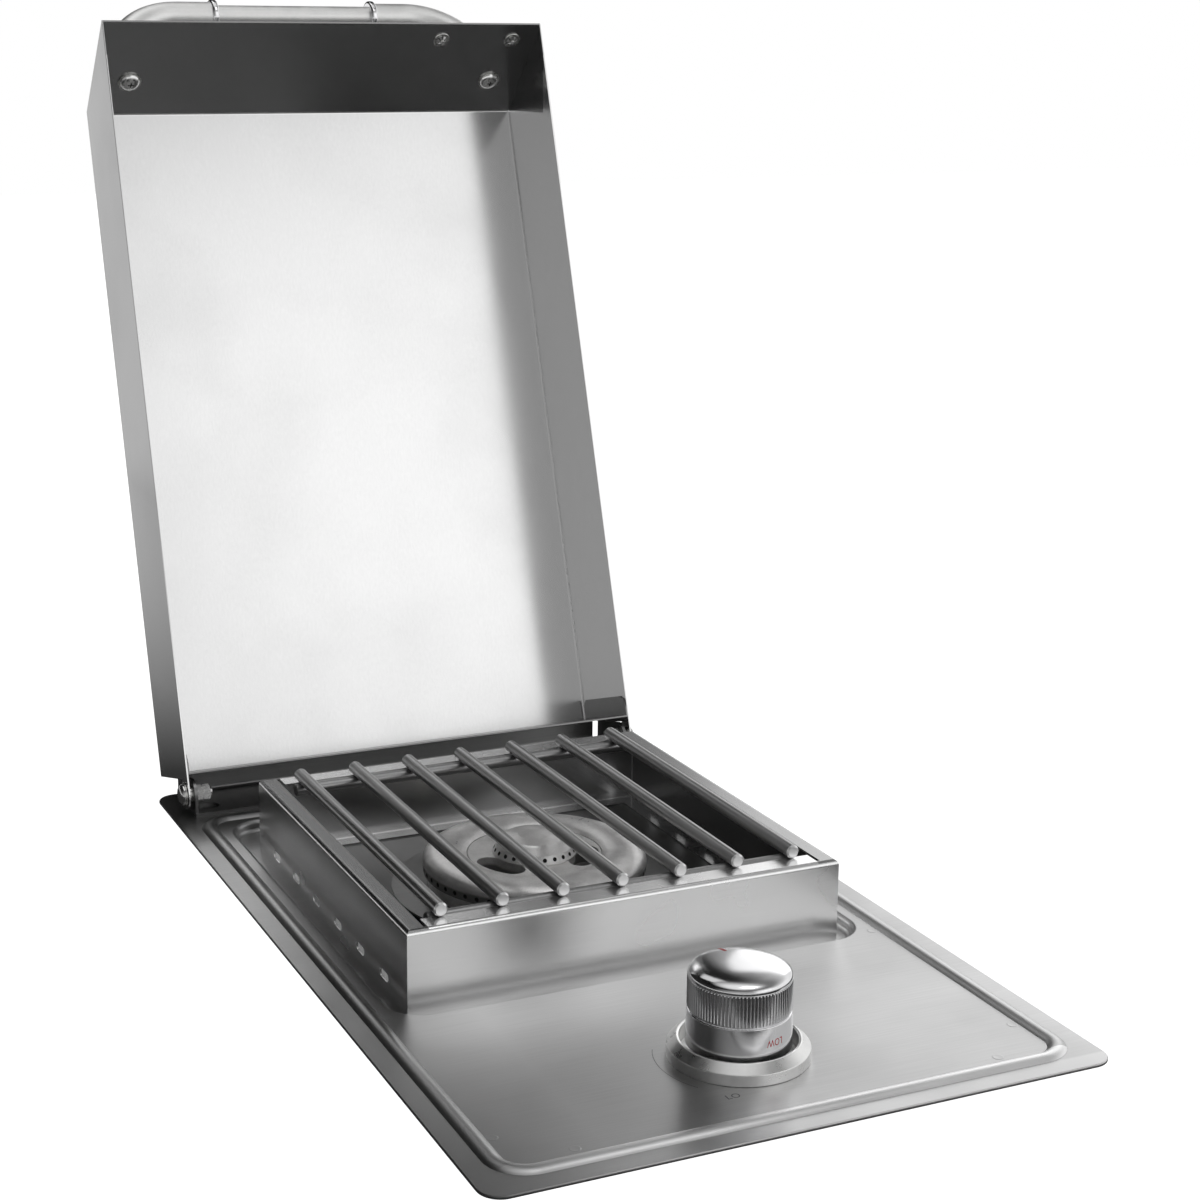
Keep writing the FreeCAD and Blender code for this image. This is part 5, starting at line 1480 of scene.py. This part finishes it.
@dataclass
class Fasteners:
    """The screws, studs, push nuts and hinge bolts that show, and the valve's spring."""

    screw_dome: Outline = ((7.0, -2.2), (6.8, -2.8), (5.9, -3.7), (4.4, -4.5), (2.6, -5.0))
    cross_reach: float = 2.2
    cross_half: float = 0.42
    cross_level: float = -5.12
    cross_depth: float = 0.2
    stud_x: tuple[float, float] = (87.0, 142.0)
    stud_drop: float = -39.3
    stud: Outline = (
        (0.0, 0.8), (3.0, 0.8), (3.0, 0.0), (1.5, 0.0), (1.5, -4.3), (1.3, -4.75), (0.8, -4.97), (0.0, -5.0),
    )
    cup: Outline = (
        (3.5, -1.02), (5.7, -1.02), (6.0, -1.3), (6.0, -1.7),
        (5.7, -2.0), (3.9, -2.0), (3.5, -1.8), (3.5, -1.02),
    )
    prong: tuple[Point, ...] = ((3.7, 1.3, -1.5), (3.7, -1.3, -1.5), (1.66, -0.5, -2.6), (1.66, 0.5, -2.6))
    prong_thick: float = 0.35
    prongs: int = 6
    bolt_dome: Outline = ((7.2, 162.6), (7.0, 163.3), (6.2, 164.3), (4.6, 165.15), (2.4, 165.65))
    nut_seat: float = 154.9
    nut_flat: float = 5.0
    nut_face: float = 4.7
    nut_bore: float = 3.02
    nut_height: float = 5.0
    nut_gap: float = 0.02
    nut_chamfer: float = 30.0
    nut_sharp: float = 18.0
    nut_steps: int = 72
    screw_steps: int = 48
    stud_steps: int = 32
    cup_steps: int = 48
    bolt_steps: int = 56
    spring_foot: float = -32.0
    spring_top: float = -18.38
    spring_radius: float = 6.3
    spring_wire: float = 0.6
    spring_turns: int = 4
    spring_steps: int = 28
    press: float = 4.0

    def cross(self) -> Object:
        """The cross recess of a handle screw, as a thin dark prism of painted shade.

        Returns:
            The cross, facing -Z.
        """
        wide, reach = self.cross_half, self.cross_reach
        points = []
        for quarter in range(4):
            cos, sin = math.cos(math.pi / 2 * quarter), math.sin(math.pi / 2 * quarter)
            for x, y in ((wide, wide), (wide, reach), (-wide, reach)):
                points.append((x * cos - y * sin, x * sin + y * cos, self.cross_level))
        return prism("cross", points, self.cross_depth, Finish.HOLLOW_SHADE)

    def handle_screws(self, place: Matrix) -> None:
        """Builds the two truss head screws that hold the handle.

        Args:
            place: the placement on the open lid.
        """
        shank = [(0.0, 12.0), (2.5, 12.0), (2.5, -2.02), (7.0, -2.02)]
        profile = [*shank, *flowing(self.screw_dome), (2.4, -5.06), (0.0, -5.06)]
        pieces = []
        for side in (-1, 1):
            screw = smooth(lathe("screw", profile, self.screw_steps, Finish.BRIGHT_ZINC), SCREW_EDGE)
            pieces.append(shifted(joined("screw_head", [screw, self.cross()]), side * POST_X, 0, 0))
        seat(moved(joined("handle_screw_pair", pieces), place), "lid", "zinc", "handle_screws")

    def studs(self, place: Matrix) -> None:
        """Builds the two studs of the badge and their star push nuts.

        Args:
            place: the placement on the open lid.
        """
        rods, nuts = [], []
        for x in self.stud_x:
            stud = smooth(lathe("stud", self.stud, self.stud_steps, Finish.BRIGHT_ZINC))
            rods.append(shifted(stud, x, self.stud_drop, 0))
            prong = prism("prong", self.prong, -self.prong_thick, Finish.BRIGHT_ZINC)
            star = round_copies(prong, self.prongs, Finish.BRIGHT_ZINC)
            washer = smooth(lathe("nut_ring", self.cup, self.cup_steps, Finish.ZINC))
            nuts.append(shifted(joined("star_nut", [washer, star]), x, self.stud_drop, 0))
        seat(moved(joined("badge_stud_pair", rods), place), "lid", "zinc", "badge_studs")
        seat(moved(joined("push_nut_pair", nuts), place), "lid", "zinc", "push_nuts")

    def hinge_nut(self) -> Object:
        """A hex nut on the X axis with its corners turned off.

        Returns:
            The nut, starting at X = 0.
        """
        bore, face, height, gap = self.nut_bore, self.nut_face, self.nut_height, self.nut_gap
        bm = bmesh.new()
        loops = [[] for _ in range(6)]
        for step in range(self.nut_steps):
            angle = 2 * math.pi * step / self.nut_steps
            reach = self.nut_flat / math.cos((angle + math.pi / 6) % (math.pi / 3) - math.pi / 6)
            drop = (reach - face) * math.tan(math.radians(self.nut_chamfer))
            half = [(bore, gap), (face, gap), (reach, drop)]
            other = [(reach, height - drop), (face, height - gap), (bore, height - gap)]
            for loop, (radius, along) in zip(loops, half + other):
                loop.append(vertex(bm, along, radius * math.cos(angle), radius * math.sin(angle)))
        bridge(bm, *loops, loops[0])
        return smooth(piece_of(bm, "nut", Finish.PALE_ZINC), self.nut_sharp)

    def hinge_bolts(self) -> None:
        """Builds the two domed hinge bolts and the pair of nuts on each."""
        shank = [(0.0, 143.0), (2.5, 143.0), (3.0, 143.5), (3.0, 162.22), (7.2, 162.22)]
        profile = [*shank, *flowing(self.bolt_dome), (0.0, 165.78)]
        bolts, nuts = [], []
        for side in (-1, 1):
            bolt = smooth(lathe("bolt", profile, self.bolt_steps, Finish.BRIGHT_ZINC), SCREW_EDGE)
            bolts.append(shifted(moved(bolt, sideways(side)), 0, HINGE_Y, HINGE_Z))
            start = side * self.nut_seat - (self.nut_height if side > 0 else 0.0)
            for x in (start, start - side * self.nut_height):
                nuts.append(shifted(self.hinge_nut(), x, HINGE_Y, HINGE_Z))
        seat(joined("hinge_bolt_pair", bolts), "deck", "zinc", "hinge_bolts")
        seat(joined("hinge_nut_pairs", nuts), "deck", "zinc", "hinge_nuts")

    def spring(self) -> None:
        """Builds the coil that pushes the knob back up."""
        low, high = self.spring_foot + self.spring_wire, self.spring_top - self.spring_wire
        count = self.spring_steps * self.spring_turns
        path = []
        for step in range(count + 1):
            angle = 2 * math.pi * self.spring_turns * step / count
            height = low + (high - low) * step / count
            path.append((self.spring_radius * math.cos(angle), self.spring_radius * math.sin(angle), height))
        coil = swept("valve_coil", path, self.spring_wire - 0.02, 0.0, Finish.ZINC)
        seat(shifted(coil, 0, KNOB_Y, 0), "plug", "zinc", "valve_spring")
        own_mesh(coil)

    def build(self) -> None:
        """Builds every fastener that shows, and the spring."""
        place = Lid().slant_place()
        self.handle_screws(place)
        self.studs(place)
        self.hinge_bolts()
        self.spring()


# ------------------------------------------------------------------ carried-over nodes


@dataclass
class PlainNodes:
    """The CAD nodes that show as they are."""

    def build(self) -> None:
        """Puts each node's finish on it."""
        table = {
            Finish.SURROUND: ("burner_surround",),
            # Plate, bracket and lid rear wall take a dark tone that is painted shade.
            Finish.SHADED_PLATE: ("burner_plate",),
            Finish.SHADED_BRACKET: ("hinge_bracket", "lid_rear_wall"),
            Finish.LID: ("lid_shell",),
            Finish.CAST: ("burner_base",),
            Finish.GALVANISED: ("service_box", "venturi_tube", "air_shutter", "valve_bracket"),
            Finish.ZINC: (
                "hinge_head_washers", "hinge_spacer_washers", "burner_screws", "air_shutter_screw",
                "bonnet_screws", "bezel_screws", "valve_stem", "handle_washers",
            ),
            Finish.BRASS: ("valve_body", "valve_bonnet", "valve_plug", "orifice_spud", "gas_inlet_fitting"),
            Finish.CERAMIC: ("igniter_electrode",),
        }
        for finish, names in table.items():
            for name in names:
                coated(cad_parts[name].data, finish)


# ------------------------------------------------------------------ studio


@dataclass(frozen=True)
class Lamp:
    """A soft square lamp aimed at a point; its sizes are metres and watts."""

    name: str
    place: Point
    aim: Point
    size: float
    power: float

    def build(self) -> None:
        """Hangs the lamp."""
        data = bpy.data.lights.new(self.name, "AREA")
        data.shape = "SQUARE"
        data.size = self.size
        data.energy = self.power
        lamp = linked(self.name, data)
        lamp.location = self.place
        lamp.rotation_euler = (Vector(self.aim) - Vector(self.place)).to_track_quat("-Z", "Y").to_euler()


@dataclass
class Studio:
    """Counter, lamps, world and camera; its sizes are metres.

    Each ramp of the room's brightness is low, high, start and end.
    """

    place: Point = (-0.51057, -1.09138, 0.49742)
    yaw: float = -23.93
    pitch: float = 12.71
    roll: float = 0.26
    lens: float = 65.86
    shift: tuple[float, float] = (0.0605, -0.0563)
    sensor: float = 36.0
    clip_end: float = 50.0
    lean: Ramp = (0.0, 0.45, 0.0, 0.6)
    side: Ramp = (0.02, 0.9, -0.12, 0.15)
    rear: Ramp = (1.0, 0.92, 0.0, 0.5)
    front: Ramp = (0.36, 0.0, -0.7, 0.0)
    overhead: Ramp = (1.0, 0.2, 0.46, 0.78)
    ceiling: Ramp = (0.0, 0.85, 0.84, 0.97)
    raised: Ramp = (0.0, 1.0, 0.025, 0.07)
    counter_reach: float = 6.0
    counter_level: float = -0.0022
    cut_side: float = 0.153
    cut_front: float = -0.268
    cut_rear: float = 0.247
    lamps: tuple[Lamp, ...] = (
        Lamp("key", (1.2, -2.0, 1.5), (0.0, 0.1, 0.2), 1.3, 1.2),
        Lamp("overhead", (0.3, -0.3, 1.7), (0.0, 0.0, 0.0), 0.5, 1.0),
        Lamp("rear_right", (1.35, 1.25, 0.75), (0.2, -0.15, 0.0), 1.0, 2.4),
        Lamp("rear_top", (-0.1, 0.95, 1.45), (0.0, 0.42, 0.48), 0.6, 0.8),
    )

    def camera(self) -> None:
        """Sets the camera."""
        data = bpy.data.cameras.new("camera")
        data.lens = self.lens
        data.sensor_width = self.sensor
        data.shift_x, data.shift_y = self.shift
        data.clip_end = self.clip_end
        yaw, pitch, turn = (math.radians(angle) for angle in (self.yaw, self.pitch, self.roll))
        back = Vector((math.sin(yaw) * math.cos(pitch), -math.cos(yaw) * math.cos(pitch), math.sin(pitch)))
        right = (-back).cross(Vector((0, 0, 1))).normalized()
        up = right.cross(-back)
        level = math.cos(turn) * right + math.sin(turn) * up
        high = math.cos(turn) * up - math.sin(turn) * right
        matrix = Matrix((level, high, back)).transposed().to_4x4()
        matrix.translation = Vector(self.place)
        camera = linked("camera", data)
        camera.matrix_world = matrix
        bpy.context.scene.camera = camera

    def world(self) -> None:
        """A room bright round the horizon and to the right, dim to the left and overhead.

        The lens sees it white.
        """
        world = bpy.data.worlds.new("studio")
        bpy.context.scene.world = world
        world.use_nodes = True
        world.node_tree.nodes.clear()
        bench = NodeBench(world.node_tree)
        x, y, z = bench.split(bench.add("ShaderNodeTexCoord").outputs["Generated"])
        side = bench.spread(bench.math("SUBTRACT", x, bench.spread(y, *self.lean)), *self.side)
        side = bench.math("MULTIPLY", side, bench.spread(y, *self.rear))
        upper = bench.math("MAXIMUM", side, bench.spread(y, *self.front))
        upper = bench.math("MULTIPLY", upper, bench.spread(z, *self.overhead))
        upper = bench.math("MAXIMUM", upper, bench.spread(z, *self.ceiling))
        share = bench.math("MULTIPLY", bench.spread(z, *self.raised), bench.math("SUBTRACT", upper, 1.0))
        lens = bench.add("ShaderNodeLightPath").outputs["Is Camera Ray"]
        strength = bench.math("MAXIMUM", bench.math("ADD", share, 1.0), lens)
        feeds = {"Color": (1.0, 1.0, 1.0, 1.0), "Strength": strength}
        bench.add("ShaderNodeOutputWorld", {0: bench.add("ShaderNodeBackground", feeds).outputs[0]})

    def counter(self) -> None:
        """Lays the counter top with the cut-out that the burner drops into."""
        bm = bmesh.new()
        far = self.counter_reach
        rings = []
        for left, right, front, rear in (
            (-far, far, -far, far), (-self.cut_side, self.cut_side, self.cut_front, self.cut_rear),
        ):
            corners = ((left, front), (right, front), (right, rear), (left, rear))
            rings.append([bm.verts.new((x, y, self.counter_level)) for x, y in corners])
        bridge(bm, *rings)
        piece_of(bm, "counter", Finish.COUNTER)

    def build(self) -> None:
        """Sets the whole studio."""
        self.camera()
        self.world()
        self.counter()
        for lamp in self.lamps:
            lamp.build()
        bpy.context.scene.view_settings.view_transform = "Standard"


def main() -> None:
    """Builds every sub-assembly in order."""
    assemblies = (DeckPan(), Knob(), Burner(), Grate(), Lid(), Fasteners(), PlainNodes(), Studio())
    for assembly in assemblies:
        assembly.build()
        log.info("%s done", type(assembly).__name__)


if __name__ == "__main__":
    main()
